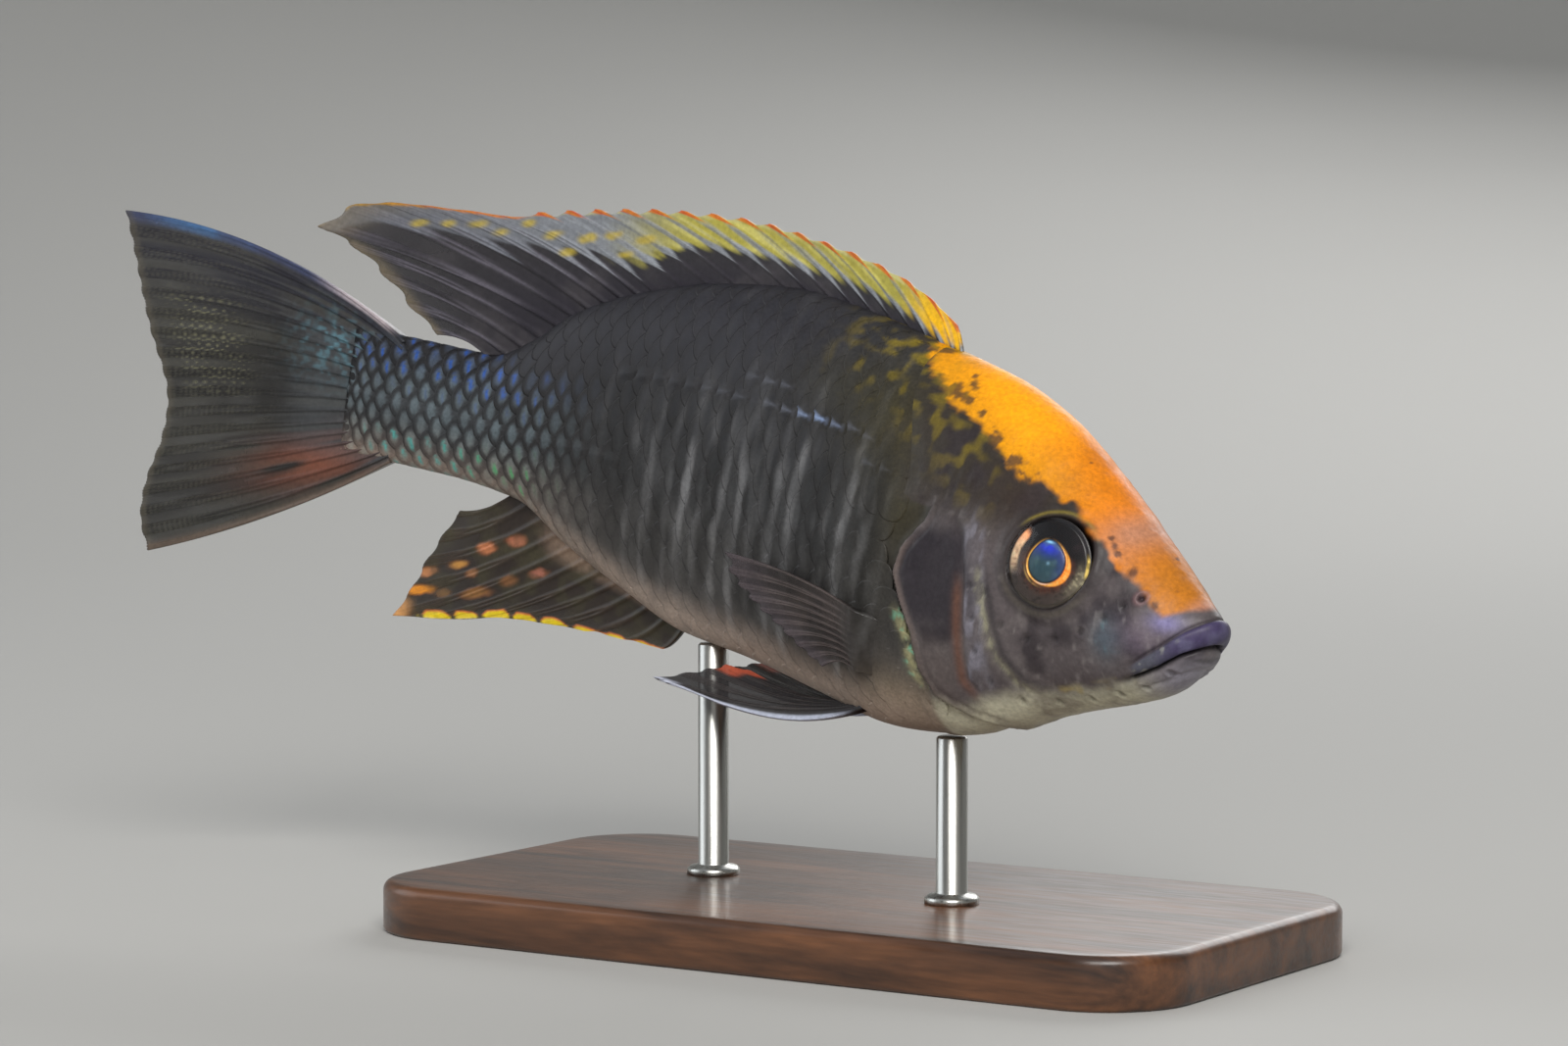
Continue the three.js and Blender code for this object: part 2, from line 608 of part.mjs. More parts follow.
function posed(point) {
  const origin = centreLine(BEND_CENTRE);
  const centre = centreLine(point.x);
  const heading = THREE.MathUtils.degToRad(headingAt(Math.max(point.x, 0) / SL));
  const x = centre.x - origin.x + point.y * Math.sin(heading);
  const y = centre.y - origin.y + point.y * Math.cos(heading);
  return new THREE.Vector3(
    x * Math.cos(PITCH) + point.z * Math.sin(PITCH),
    y,
    AXIS_HEIGHT - x * Math.sin(PITCH) + point.z * Math.cos(PITCH),
  );
}

function toGeometry(solid) {
  const { vertProperties, triVerts } = solid.getMesh();
  const geometry = new THREE.BufferGeometry();
  geometry.setAttribute("position", new THREE.Float32BufferAttribute(vertProperties, 3));
  return geometry.setIndex(Array.from(triVerts));
}

// s runs against X, so the pose mirrors a solid and its triangles are turned over again
function toPosedGeometry(solid) {
  const geometry = toGeometry(largest(toSolid(toGeometry(solid), WELD)));
  const position = geometry.attributes.position;
  for (let i = 0; i < position.count; i += 1) {
    const point = posed(new THREE.Vector3().fromBufferAttribute(position, i));
    position.setXYZ(i, point.x, point.y, point.z);
  }
  return geometry.setIndex(Array.from(geometry.index.array).reverse());
}

// Stand
const BASE = { length: 88, width: 46, thickness: 5, corner: 9, bevel: 0.8, cornerSteps: 5 };
const ROD = { radius: 1.5, sides: 16, roots: { front: 31, rear: 61.5 } };

function standBase() {
  const { length, width, corner, thickness, bevel } = BASE;
  const [x, y] = [length / 2 - bevel, width / 2 - bevel];
  const shape = new THREE.Shape();
  shape.moveTo(-x + corner, -y);
  shape.lineTo(x - corner, -y).absarc(x - corner, -y + corner, corner, -Math.PI / 2, 0);
  shape.lineTo(x, y - corner).absarc(x - corner, y - corner, corner, 0, Math.PI / 2);
  shape.lineTo(-x + corner, y).absarc(-x + corner, y - corner, corner, Math.PI / 2, Math.PI);
  shape.lineTo(-x, -y + corner).absarc(-x + corner, -y + corner, corner, Math.PI, 1.5 * Math.PI);
  const depth = thickness - 2 * bevel;
  const geometry = new THREE.ExtrudeGeometry(shape, {
    depth, bevelThickness: bevel, bevelSize: bevel, bevelSegments: 1, curveSegments: BASE.cornerSteps,
  });
  return toSolid(geometry.translate(0, 0, bevel));
}

function standRod(rootS, grownBody) {
  const foot = posed(new THREE.Vector3(rootS, 0, section(rootS).bottom));
  const from = BASE.thickness + GAP;
  const height = AXIS_HEIGHT - from;
  const rod = new THREE.CylinderGeometry(ROD.radius, ROD.radius, height, ROD.sides).rotateX(Math.PI / 2);
  return largest(toSolid(rod.translate(foot.x, foot.y, from + height / 2)).subtract(grownBody));
}

// Body, parted into its nodes by thin cuts
function bodyPieces() {
  let whole = bodySolid(0).add(lip(LIPS.upper)).add(lip(LIPS.lower));
  for (const side of [1, -1]) whole = whole.add(orbitRim(side)).add(nostrilRim(side));
  for (const side of [1, -1]) whole = whole.subtract(eyeSolid(side, GAP)).subtract(nostrilPit(side));
  const cuts = slab(GILL_OPENING, GAP).add(slab(STALK_CUT, GAP));
  const [front, trunk, stalk] = piecesFromFront(whole.subtract(cuts));
  const mouthCut = slab(MOUTH_LINE, GAP).add(slab(JAW_REAR, GAP));
  const parts = front.subtract(mouthCut).decompose().sort((a, b) => b.volume() - a.volume());
  const [headWhole, jaw] = parts;
  const inner = bodySolid(-COVER.thick - GAP, COVER.from);
  let head = headWhole;
  for (const side of [1, -1]) head = head.subtract(coverPrism(side, GAP).subtract(inner));
  return { head: largest(head), jaw, trunk, stalk };
}

const fish = new THREE.Group();

function addNode(name, geometry, material) {
  const mesh = new THREE.Mesh(geometry, material);
  mesh.name = name;
  fish.add(mesh);
}

const pieces = bodyPieces();
const nearBody = bodySolid(GAP);
const rooted = (fin) => largest(fin.subtract(nearBody));

addNode("head", toPosedGeometry(pieces.head), materials.head);
addNode("lower_jaw", toPosedGeometry(pieces.jaw), materials.head);
addNode("trunk", toPosedGeometry(pieces.trunk), materials.skin);
addNode("tail_stalk", toPosedGeometry(pieces.stalk), materials.skin);
addNode("dorsal_fin", toPosedGeometry(rooted(dorsalFin())), materials.fin);
addNode("anal_fin", toPosedGeometry(rooted(analFin())), materials.fin);
addNode("tail_fin", toPosedGeometry(rooted(caudalFin())), materials.fin);
for (const [name, side] of [["left", 1], ["right", -1]]) {
  addNode(`gill_cover_${name}`, toPosedGeometry(gillCover(side)), materials.head);
  addNode(`eye_${name}`, toPosedGeometry(eyeSolid(side)), materials.eye);
  addNode(`pectoral_fin_${name}`, toPosedGeometry(rooted(pectoralFin(side))), materials.fin);
  addNode(`pelvic_fin_${name}`, toPosedGeometry(rooted(pelvicFin(side))), materials.fin);
}
addNode("stand_base", toGeometry(standBase()), materials.base);
const posedNearBody = toSolid(toPosedGeometry(nearBody));
for (const [name, rootS] of Object.entries(ROD.roots)) {
  addNode(`stand_rod_${name}`, toGeometry(standRod(rootS, posedNearBody)), materials.rod);
}

export default fish;
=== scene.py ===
# A peacock cichlid as a still, life-size display model: its skin, scales, fins, eyes and stand.
# Forms are made on a straight fish in millimetres: s runs back from just ahead of the snout,
# y to the fish's left and z up from the body axis. Each is then bent into the pose, in metres.

import math

import bpy
import numpy as np
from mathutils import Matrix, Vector


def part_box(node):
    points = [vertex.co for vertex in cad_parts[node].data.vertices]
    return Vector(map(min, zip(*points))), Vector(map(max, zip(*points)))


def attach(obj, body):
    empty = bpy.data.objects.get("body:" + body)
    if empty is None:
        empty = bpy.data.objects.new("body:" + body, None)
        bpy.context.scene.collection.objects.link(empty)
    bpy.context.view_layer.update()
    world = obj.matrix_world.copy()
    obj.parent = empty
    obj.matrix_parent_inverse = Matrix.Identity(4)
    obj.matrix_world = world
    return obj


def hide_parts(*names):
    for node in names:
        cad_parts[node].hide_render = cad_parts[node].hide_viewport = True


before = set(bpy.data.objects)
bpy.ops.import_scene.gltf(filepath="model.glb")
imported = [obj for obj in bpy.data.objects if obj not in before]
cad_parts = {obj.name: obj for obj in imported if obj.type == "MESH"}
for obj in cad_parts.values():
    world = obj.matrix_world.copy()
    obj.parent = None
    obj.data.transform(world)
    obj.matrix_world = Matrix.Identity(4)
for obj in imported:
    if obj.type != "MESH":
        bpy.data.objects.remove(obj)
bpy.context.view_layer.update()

# Driving dimensions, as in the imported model
MM = 0.001
SL = 104.0
TIP = 0.0115
PITCH = math.radians(9.9)
AXIS_HEIGHT = 41.0
BEND_CENTRE = 0.45 * SL
BACK_LINE = [
    (TIP, -0.006), (0.035, 0.016), (0.07, 0.041), (0.115, 0.073), (0.165, 0.107), (0.22, 0.139),
    (0.28, 0.16), (0.355, 0.173), (0.45, 0.188), (0.54, 0.195), (0.64, 0.183), (0.73, 0.157),
    (0.8, 0.124), (0.845, 0.088), (0.89, 0.066), (1, 0.066),
]
BELLY_LINE = [
    (TIP, -0.006), (0.0165, -0.022), (0.032, -0.049), (0.056, -0.0725), (0.09, -0.089),
    (0.13, -0.104), (0.18, -0.125), (0.23, -0.148), (0.29, -0.168), (0.37, -0.178), (0.45, -0.169),
    (0.54, -0.158), (0.62, -0.152), (0.7, -0.127), (0.77, -0.1), (0.84, -0.067), (0.92, -0.061),
    (1, -0.061),
]
HALF_WIDTH = [
    (TIP, 0), (0.021, 0.02), (0.04, 0.036), (0.08, 0.054), (0.15, 0.07), (0.25, 0.083),
    (0.35, 0.087), (0.5, 0.078), (0.65, 0.06), (0.8, 0.037), (0.9, 0.025), (1, 0.016),
    (1.045, 0.004),
]
WIDEST_SHARE = 0.52
ROUND_ABOVE = 1.85
ROUND_BELOW = 2.1
HEADING = [(0.27, 12), (0.5, 5.5), (0.7, 0), (0.86, -3), (1, -7), (1.25, -16)]
SKIN_END = 1.045 * SL  # the skin runs out over the root of the tail fin

SIDES = {1: "left", -1: "right"}

# Lines on the side of the head, as (s, z)
GILL_OPENING = [
    (30.2, 6), (30.9, 3.2), (33.0, 0.4), (33.6, -2.2), (32.4, -4.6), (30.8, -7.4), (29.9, -10.6),
    (28.3, -13), (24.8, -14.2), (19.5, -15.2), (15, -14.6),
]
MOUTH_LINE = [(-2, -1.35), (0.5, -1.6), (1.6, -2.1), (3.1, -3.1), (4.8, -4.6), (6.9, -6), (9.2, -7.3)]
PREOPERCLE = [(27.6, 5.2), (26.0, 2.6), (24.9, -1.5), (24.6, -6), (24.2, -10.2), (22.2, -12.2)]
CHEEK_EDGE = [(24.0, 1.3), (23.2, -1.5), (22.1, -4.8), (21.0, -7.6), (18.8, -9.8), (15.0, -10.6)]
BLAZE_EDGE = [
    (1.0, 1.4), (3.5, 0.9), (5.2, 0.0), (6.5, 0.8), (8.1, 2.0), (9.6, 2.6), (12, 4.5), (13.8, 5.8),
    (16.4, 7.5), (20.3, 9.2), (22.9, 9.3), (26.6, 10.8), (28.7, 12.0), (32, 13.6), (34.4, 14.7),
    (37.5, 16.4), (40.5, 18.9),
]
UPPER_LATERAL_LINE = [(33.5, 5.4), (37, 7.1), (45.8, 9.9), (51.8, 10.6), (56, 10.7), (61.4, 10.3), (74, 8.8)]
LOWER_LATERAL_LINE = [(73, 1.2), (88, 0.6), (104, 0.3)]

EYE = {"s": 16.6, "z": 2.4, "radius": 4.13}
NOSTRIL = {"s": 7.4, "z": 1.2, "radius": 0.5}


def srgb(red, green, blue):
    """Linear colour of a screen colour given as 0 to 255."""
    c = np.array([red, green, blue], float) / 255
    return np.where(c <= 0.04045, c / 12.92, ((c + 0.055) / 1.055) ** 2.4)


def lerp(a, b, t):
    return a + (b - a) * t


def smooth(x, low, high):
    """0 below low and 1 above high, with a soft step between. high may be the lower number."""
    t = np.clip((np.asarray(x, float) - low) / (high - low), 0, 1)
    return t * t * (3 - 2 * t)


def within(x, start, full, fading, end):
    """1 from full to fading, with a soft step down to 0 at start and at end."""
    return smooth(x, start, full) * smooth(x, end, fading)


def hump(x, centre, width):
    """Bell shape, 1 at the centre."""
    return np.exp(-(((x - centre) / width) ** 2))


def hashed(cells, seed):
    """A number from 0 to 1 for each whole-number cell."""
    h = np.full(cells.shape[:-1], seed * 374761393 + 668265263, np.uint32)
    for axis, prime in enumerate((73856093, 19349663, 83492791)):
        h ^= cells[..., axis].astype(np.int64).astype(np.uint32) * np.uint32(prime)
        h = (h ^ (h >> np.uint32(15))) * np.uint32(2246822519)
    h ^= h >> np.uint32(13)
    h = h * np.uint32(3266489917)
    h ^= h >> np.uint32(16)
    return h.astype(float) / 4294967295.0


def noise(points, size, seed=0):
    """Smooth noise from -1 to 1 with bumps about size across."""
    p = np.asarray(points, float) / size
    low = np.floor(p)
    t = p - low
    t = t * t * (3 - 2 * t)
    total = 0
    for corner in np.ndindex(2, 2, 2):
        weight = np.prod(np.where(np.array(corner), t, 1 - t), axis=-1)
        total = total + weight * hashed(low + np.array(corner), seed)
    return 2 * total - 1


def cloud(points, size, octaves=3, seed=0):
    """Noise with finer noise over it."""
    total, weight = 0, 0
    for k in range(octaves):
        total = total + noise(points, size / 2**k, seed + k) / 2**k
        weight += 1 / 2**k
    return total / weight


def mix(base, colour, amount):
    """The base with a linear colour laid over it by an amount from 0 to 1."""
    return base + (np.asarray(colour) - base) * np.asarray(amount)[..., None]


def paint(colour, layers):
    """The colour with each layer's screen colour laid over it by its amount."""
    for tint, amount in layers:
        colour = mix(colour, srgb(*tint), amount)
    return colour


def side_view(points):
    return points[..., 0], points[..., 2]


def flat(across, down):
    """Places in a plane, for noise."""
    return np.stack([across, down, 0 * across], -1)


def from_centre(form, s, z):
    """Distance from the middle of a round form on the side of the head."""
    return np.hypot(s - form["s"], z - form["z"])


# The straight fish


def profile(knots):
    """Smooth curve through knots with no overshoot, round where it starts at the snout."""
    knots = np.array(knots, float)
    x = np.sqrt(np.maximum(knots[:, 0] - TIP, 0))
    v = knots[:, 1]
    width = np.diff(x)
    slope = np.diff(v) / width
    tangent = np.empty_like(v)
    tangent[0], tangent[-1] = slope[0], slope[-1]
    a, b = slope[:-1], slope[1:]
    safe = np.where(a * b > 0, a + b, 1)
    tangent[1:-1] = np.where(a * b > 0, 2 * a * b / safe, 0)

    def at(share):
        t = np.clip(np.sqrt(np.maximum(np.asarray(share, float) - TIP, 0)), x[0], x[-1])
        i = np.clip(np.searchsorted(x, t, side="right") - 1, 0, len(width) - 1)
        q = (t - x[i]) / width[i]
        rise = q * q * (3 - 2 * q)
        lead_in = q * (1 - q) ** 2 * width[i] * tangent[i]
        lead_out = q * q * (q - 1) * width[i] * tangent[i + 1]
        return v[i] * (1 - rise) + v[i + 1] * rise + lead_in + lead_out

    return at


back_line = profile(BACK_LINE)
belly_line = profile(BELLY_LINE)
half_width = profile(HALF_WIDTH)
heading_at = profile(HEADING)


def section(s):
    """Top, bottom, widest height and half width of the body at s."""
    share = np.asarray(s, float) / SL
    top = back_line(share) * SL
    bottom = belly_line(share) * SL
    middle = top + (bottom - top) * WIDEST_SHARE
    return top, bottom, middle, half_width(share) * SL


def side_at(s, z):
    """Half width of the body at height z."""
    top, bottom, middle, half = section(s)
    above = z > middle
    reach = np.where(above, top - middle, middle - bottom)
    power = np.where(above, ROUND_ABOVE, ROUND_BELOW)
    share = np.clip(np.abs(z - middle) / np.maximum(reach, 1e-6), 0, 1)
    return half * (1 - share**power) ** (1 / power)


BEND_STEP = 0.5
BEND_FROM = -6.0
BEND_TO = 1.4 * SL


def bend_table():
    """x and y of the body's middle line, bent, at each step along it."""
    middles = np.arange(BEND_FROM, BEND_TO, BEND_STEP) + BEND_STEP / 2
    heading = np.radians(heading_at(middles / SL))
    x = np.concatenate([[0], np.cumsum(-np.cos(heading) * BEND_STEP)])
    y = np.concatenate([[0], np.cumsum(np.sin(heading) * BEND_STEP)])
    return x, y


BEND_X, BEND_Y = bend_table()
BEND_S = BEND_FROM + BEND_STEP * np.arange(len(BEND_X))


def posed(points):
    """Straight-fish millimetres to metres in the pose."""
    points = np.asarray(points, float)
    s, across, up = points[..., 0], points[..., 1], points[..., 2]
    heading = np.radians(heading_at(np.maximum(s, 0) / SL))
    x = np.interp(s, BEND_S, BEND_X) - np.interp(BEND_CENTRE, BEND_S, BEND_X) + across * np.sin(heading)
    y = np.interp(s, BEND_S, BEND_Y) - np.interp(BEND_CENTRE, BEND_S, BEND_Y) + across * np.cos(heading)
    return MM * np.stack([
        x * math.cos(PITCH) + up * math.sin(PITCH),
        y,
        AXIS_HEIGHT - x * math.sin(PITCH) + up * math.cos(PITCH),
    ], -1)


# Table of the body's surface: place by s and by share of the girth from back to belly
TABLE_STEP = 0.25
TABLE_S = np.concatenate([
    TIP * SL + np.array([0.0, 0.03, 0.08, 0.15]),
    np.arange(1.5, SKIN_END, TABLE_STEP),
    [SKIN_END],
])
TABLE_SHARES = 241


def surface_table():
    """Half section of the smooth body, as (y, z), and its girth at each s."""
    turn = np.linspace(0, math.pi, 721)
    power = np.where(turn < math.pi / 2, ROUND_ABOVE, ROUND_BELOW)
    across = np.sin(turn) ** (2 / power)
    rise = np.abs(np.cos(turn)) ** (2 / power)
    table = np.empty((len(TABLE_S), TABLE_SHARES, 2))
    girth = np.empty(len(TABLE_S))
    for k, s in enumerate(TABLE_S):
        top, bottom, middle, half = section(s)
        y = half * across
        z = middle + np.where(turn < math.pi / 2, top - middle, bottom - middle) * rise
        arc = np.concatenate([[0], np.cumsum(np.hypot(np.diff(y), np.diff(z)))])
        girth[k] = arc[-1]
        wanted = np.linspace(0, 1, TABLE_SHARES) * arc[-1]
        table[k] = np.stack([np.interp(wanted, arc, y), np.interp(wanted, arc, z)], -1)
    return table, girth


TABLE, GIRTH = surface_table()


def girth_at(s):
    return np.interp(s, TABLE_S, GIRTH)


def surface(s, share):
    """(s, y, z) on the fish's left at a share of the girth from back to belly."""
    s = np.clip(s, TABLE_S[0], TABLE_S[-1])
    i = np.clip(np.searchsorted(TABLE_S, s, side="right") - 1, 0, len(TABLE_S) - 2)
    p = (s - TABLE_S[i]) / (TABLE_S[i + 1] - TABLE_S[i])
    g = np.clip(share, 0, 1) * (TABLE_SHARES - 1)
    j = np.minimum(g.astype(int), TABLE_SHARES - 2)
    q = (g - j)[..., None]
    p = p[..., None]
    yz = (1 - p) * ((1 - q) * TABLE[i, j] + q * TABLE[i, j + 1])
    yz = yz + p * ((1 - q) * TABLE[i + 1, j] + q * TABLE[i + 1, j + 1])
    return np.concatenate([s[..., None], yz], -1)


def outward(s, share):
    """Direction out of the body there, on the fish's left."""
    ds, dg = 0.25, 0.004
    along = surface(s + ds, share) - surface(s - ds, share)
    down = surface(s, share + dg) - surface(s, share - dg)
    out = np.cross(along, down)
    return out / np.maximum(np.linalg.norm(out, axis=-1, keepdims=True), 1e-9)


# Lines drawn on the side


def polyline_distance(s, z, line):
    """Distance to a line of (s, z) points, and how far along it, 0 to 1.

    The distance is positive ahead of a line that runs downwards.
    """
    line = np.array(line, float)
    lengths = np.hypot(*np.diff(line, axis=0).T)
    starts = np.concatenate([[0], np.cumsum(lengths)])
    best = np.full(np.shape(s), 1e9)
    sign = np.ones(np.shape(s))
    along = np.zeros(np.shape(s))
    for (a, b, length, start) in zip(line[:-1], line[1:], lengths, starts):
        ds, dz = (b - a) / length
        t = np.clip((s - a[0]) * ds + (z - a[1]) * dz, 0, length)
        gap_s, gap_z = s - (a[0] + ds * t), z - (a[1] + dz * t)
        distance = np.hypot(gap_s, gap_z)
        near = distance < best
        best = np.where(near, distance, best)
        sign = np.where(near, np.sign(dz * gap_s - ds * gap_z + 1e-12), sign)
        along = np.where(near, (start + t) / starts[-1], along)
    return best * sign, along


def near_line(s, z, line, faded_in, faded_out):
    """Distance to a line, and a share that fades out towards both its ends."""
    distance, along = polyline_distance(s, z, line)
    return distance, smooth(along, 0.0, faded_in) * smooth(along, 1.0, faded_out)


def line_height(s, line):
    """Value at s of a line given as (s, value)."""
    return np.interp(s, *np.array(line, float).T)


# Relief of the head, in millimetres out of the smooth body

LIP = {"start": 1.2, "corner": 7.2, "slant": 0.86, "upper": (2.5, 1.0), "lower": (1.5, 0.9)}
PORES = [
    (2.2, -3.6, 0.34), (4.0, -4.9, 0.36), (6.4, -6.9, 0.34), (9.0, -8.2, 0.36), (12.2, -9.4, 0.36),
    (15.6, -10.5, 0.4), (19.2, -11.2, 0.42), (21.9, -10.0, 0.42), (23.2, -7.4, 0.42),
    (23.6, -4.4, 0.4), (24.1, -1.4, 0.36), (10.0, -1.2, 0.4), (12.0, -2.9, 0.42), (14.6, -4.2, 0.42),
    (17.6, -4.9, 0.42), (20.4, -4.2, 0.4), (22.5, -1.8, 0.36), (8.6, 0.2, 0.34),
]


def rounded(share):
    """Half circle over 0 to 1."""
    return np.sqrt(np.clip(1 - ((share - 0.5) / 0.5) ** 2, 0, 1))


def lip_place(s, z):
    """Share of the way to the mouth's corner, height above the mouth, and how tall each lip is."""
    share = np.clip((s - LIP["start"]) / (LIP["corner"] - LIP["start"]), 0, 1)
    above = (z - line_height(s, MOUTH_LINE)) * LIP["slant"]
    return share, above, lerp(*LIP["upper"], share**0.8), lerp(*LIP["lower"], share**0.8)


def lip_relief(s, z):
    share, above, upper_tall, lower_tall = lip_place(s, z)
    fade = smooth(s, LIP["corner"] + 0.6, LIP["corner"] - 1.4)
    upper = rounded(above / upper_tall) * lerp(0.34, 0.24, share)
    lower = rounded(-above / lower_tall) * lerp(0.22, 0.16, share)
    crease = -0.16 * hump(above, upper_tall + 0.1, 0.2) - 0.1 * hump(above, -lower_tall - 0.1, 0.2)
    slit = -0.65 * hump(above, 0, 0.11) * smooth(s, LIP["corner"] + 0.3, LIP["corner"] - 0.5)
    fold = -0.16 * hump(above, 0, 0.3) * smooth(s, 9.4, 7.6)
    return (upper + lower + crease) * fade + slit + fold


def orbit_relief(s, z):
    r = from_centre(EYE, s, z)
    rim = 0.2 * hump(r, 4.35, 0.32) + 0.16 * hump(r, 5.0, 0.6)
    furrow = -0.14 * hump(r, 5.7, 0.5) * smooth(z, EYE["z"] + 2, EYE["z"] - 1)
    socket = -2.2 * smooth(r, 4.1, 3.4)
    return rim + furrow + socket


def nostril_relief(s, z):
    r = from_centre(NOSTRIL, s, z)
    return 0.11 * hump(r, NOSTRIL["radius"], 0.2) - 0.4 * smooth(r, 0.36, 0.16)


def pore_relief(s, z):
    total = np.zeros(np.shape(s))
    for pore_s, pore_z, radius in PORES:
        r = np.hypot(s - pore_s, z - pore_z) / radius
        total += -0.16 * np.exp(-(r**4)) + 0.035 * hump(r, 1.35, 0.3)
    return total


def gill_relief(s, z):
    ahead, strength = near_line(s, z, GILL_OPENING, 0.12, 0.75)
    cover = 0.32 * within(ahead, -0.06, 0.1, 0.4, 5.0)
    behind = -0.42 * within(ahead, -2.6, -0.3, -0.12, 0.05)
    membrane = -0.1 * hump(ahead, 0.9, 0.22)
    return (cover + behind + membrane) * strength


def cheek_relief(s, z):
    ahead, strength = near_line(s, z, PREOPERCLE, 0.2, 0.8)
    shelf = 0.14 * within(ahead, -0.2, 0.5, 0.8, 3.0)
    step = (-0.2 * hump(ahead, -0.25, 0.4) + shelf) * strength
    ahead, strength = near_line(s, z, CHEEK_EDGE, 0.2, 0.75)
    shelf = 0.1 * within(ahead, 0, 0.8, 1.4, 4)
    return step + (-0.15 * hump(ahead, -0.1, 0.45) + shelf) * strength


def head_relief(points):
    """Relief of the skin at points of the smooth body."""
    s, z = side_view(points)
    relief = lip_relief(s, z) + orbit_relief(s, z) + nostril_relief(s, z) + pore_relief(s, z)
    relief += gill_relief(s, z) + cheek_relief(s, z)
    bare = within(s, 1.5, 4, 30, 36)
    upright = points * [1, 1, 0.45]
    return relief + (0.05 * cloud(points, 2.6, 3, 11) + 0.03 * noise(upright, 0.6, 14)) * bare


def scaled_share(s, z):
    """How fully the skin is scaled there: 0 on the head, 1 on the body."""
    behind, _ = polyline_distance(s, z, GILL_OPENING)
    behind_gill = smooth(behind, -0.1, -1.2) * smooth(s, 30, 31)
    line = lerp(33.4, 37.5, smooth(z, 6, 17))
    body = smooth(s, line - 1, line + 2)
    return np.where(z > 5, body, np.maximum(body, behind_gill * smooth(s, 29, 31)))


# Colours of the body. Colours are written as on a screen, 0 to 255.

BODY = srgb(41, 40, 41)
BLAZE = srgb(240, 154, 1)
OLIVE = srgb(128, 110, 14)
PATCHES = [  # centre s, z, reach along s and z, colour, strength: soft patches on the flank
    (38, 11, 6, 7, (58, 51, 16), 0.65), (45, 14, 7, 4, (54, 50, 28), 0.5),
    (34, 3, 3.5, 4, (56, 50, 26), 0.5), (38, -5, 5, 6, (56, 51, 38), 0.45),
    (98, -5.5, 14, 2.0, (126, 110, 102), 0.6), (84, -9, 9, 3, (104, 94, 88), 0.6),
    (70, -14.0, 12, 3.2, (152, 136, 124), 0.75), (54, -16.5, 10, 3.2, (158, 140, 128), 0.75),
    (40, -17.5, 10, 3.2, (162, 148, 134), 0.75), (61, -8.5, 20, 6, (88, 86, 84), 0.5),
    (97, 0, 9, 4, (74, 78, 82), 0.6), (60, 17, 26, 4, (40, 39, 44), 0.6),
    (33, -15.5, 6, 3.2, (150, 134, 112), 0.7),
]
BLAZE_SPECKS = [
    (9.1, 3.2, 0.75), (11.6, 5.0, 0.45), (12.3, 5.6, 0.4), (11.0, 4.4, 0.35), (6.1, 0.9, 0.5),
    (13.8, 9.6, 0.35), (9.8, 8.6, 0.3), (5.4, 2.2, 0.3), (7.8, 4.6, 0.3), (17.2, 11.8, 0.3),
]


def above_blaze_edge(points):
    """Height above the lower edge of the blaze."""
    s, z = side_view(points)
    return z - line_height(s, BLAZE_EDGE)


def blaze_share(points):
    """How fully the blaze covers the skin, 0 to 1."""
    s = points[..., 0]
    rough = smooth(s, 4, 12)
    ragged = (1.1 * cloud(points, 3.0, 3, 21) + 0.5 * noise(points, 0.8, 25)) * rough
    inside = above_blaze_edge(points) + ragged
    share = smooth(inside, -0.3, 0.45)
    limit = lerp(0.95, 0.12, smooth(inside, 5.5, 0.4))
    holes = smooth(cloud(points, 1.5, 3, 29), limit, limit + 0.14) * smooth(s, 12, 19)
    last = 40.3 + 1.6 * noise(points, 2.0, 27)
    share = share * smooth(s, last + 0.8, last - 1.2) * smooth(s, 2.2, 3.2)
    return share * (1 - 0.8 * holes)


def blaze_colour(points):
    """Colour of the blaze: rusty at the snout, orange over the eye and olive at its rear end."""
    s, z = side_view(points)
    colour = mix(srgb(176, 106, 22), srgb(212, 118, 2), smooth(s, 6, 14))
    colour = mix(colour, BLAZE, smooth(s, 17, 25))
    edge = smooth(above_blaze_edge(points), 4.5, 0.5)
    mottled = smooth(cloud(points, 1.3, 2, 31), -0.1, 0.5)
    shade = 1 + 0.18 * cloud(points, 2.0, 3, 33)
    colour = paint(colour, [
        ((166, 120, 98), 0.8 * hump(s, 11.0, 2.4) * hump(z, 6.4, 1.9)),
        ((166, 126, 120), 0.6 * smooth(s, 4.6, 2.8)),
        ((184, 126, 6), 0.6 * edge * smooth(s, 12, 20)),
        ((116, 104, 20), 0.75 * smooth(s, 31, 38) * mottled),
    ])
    return colour * shade[..., None]


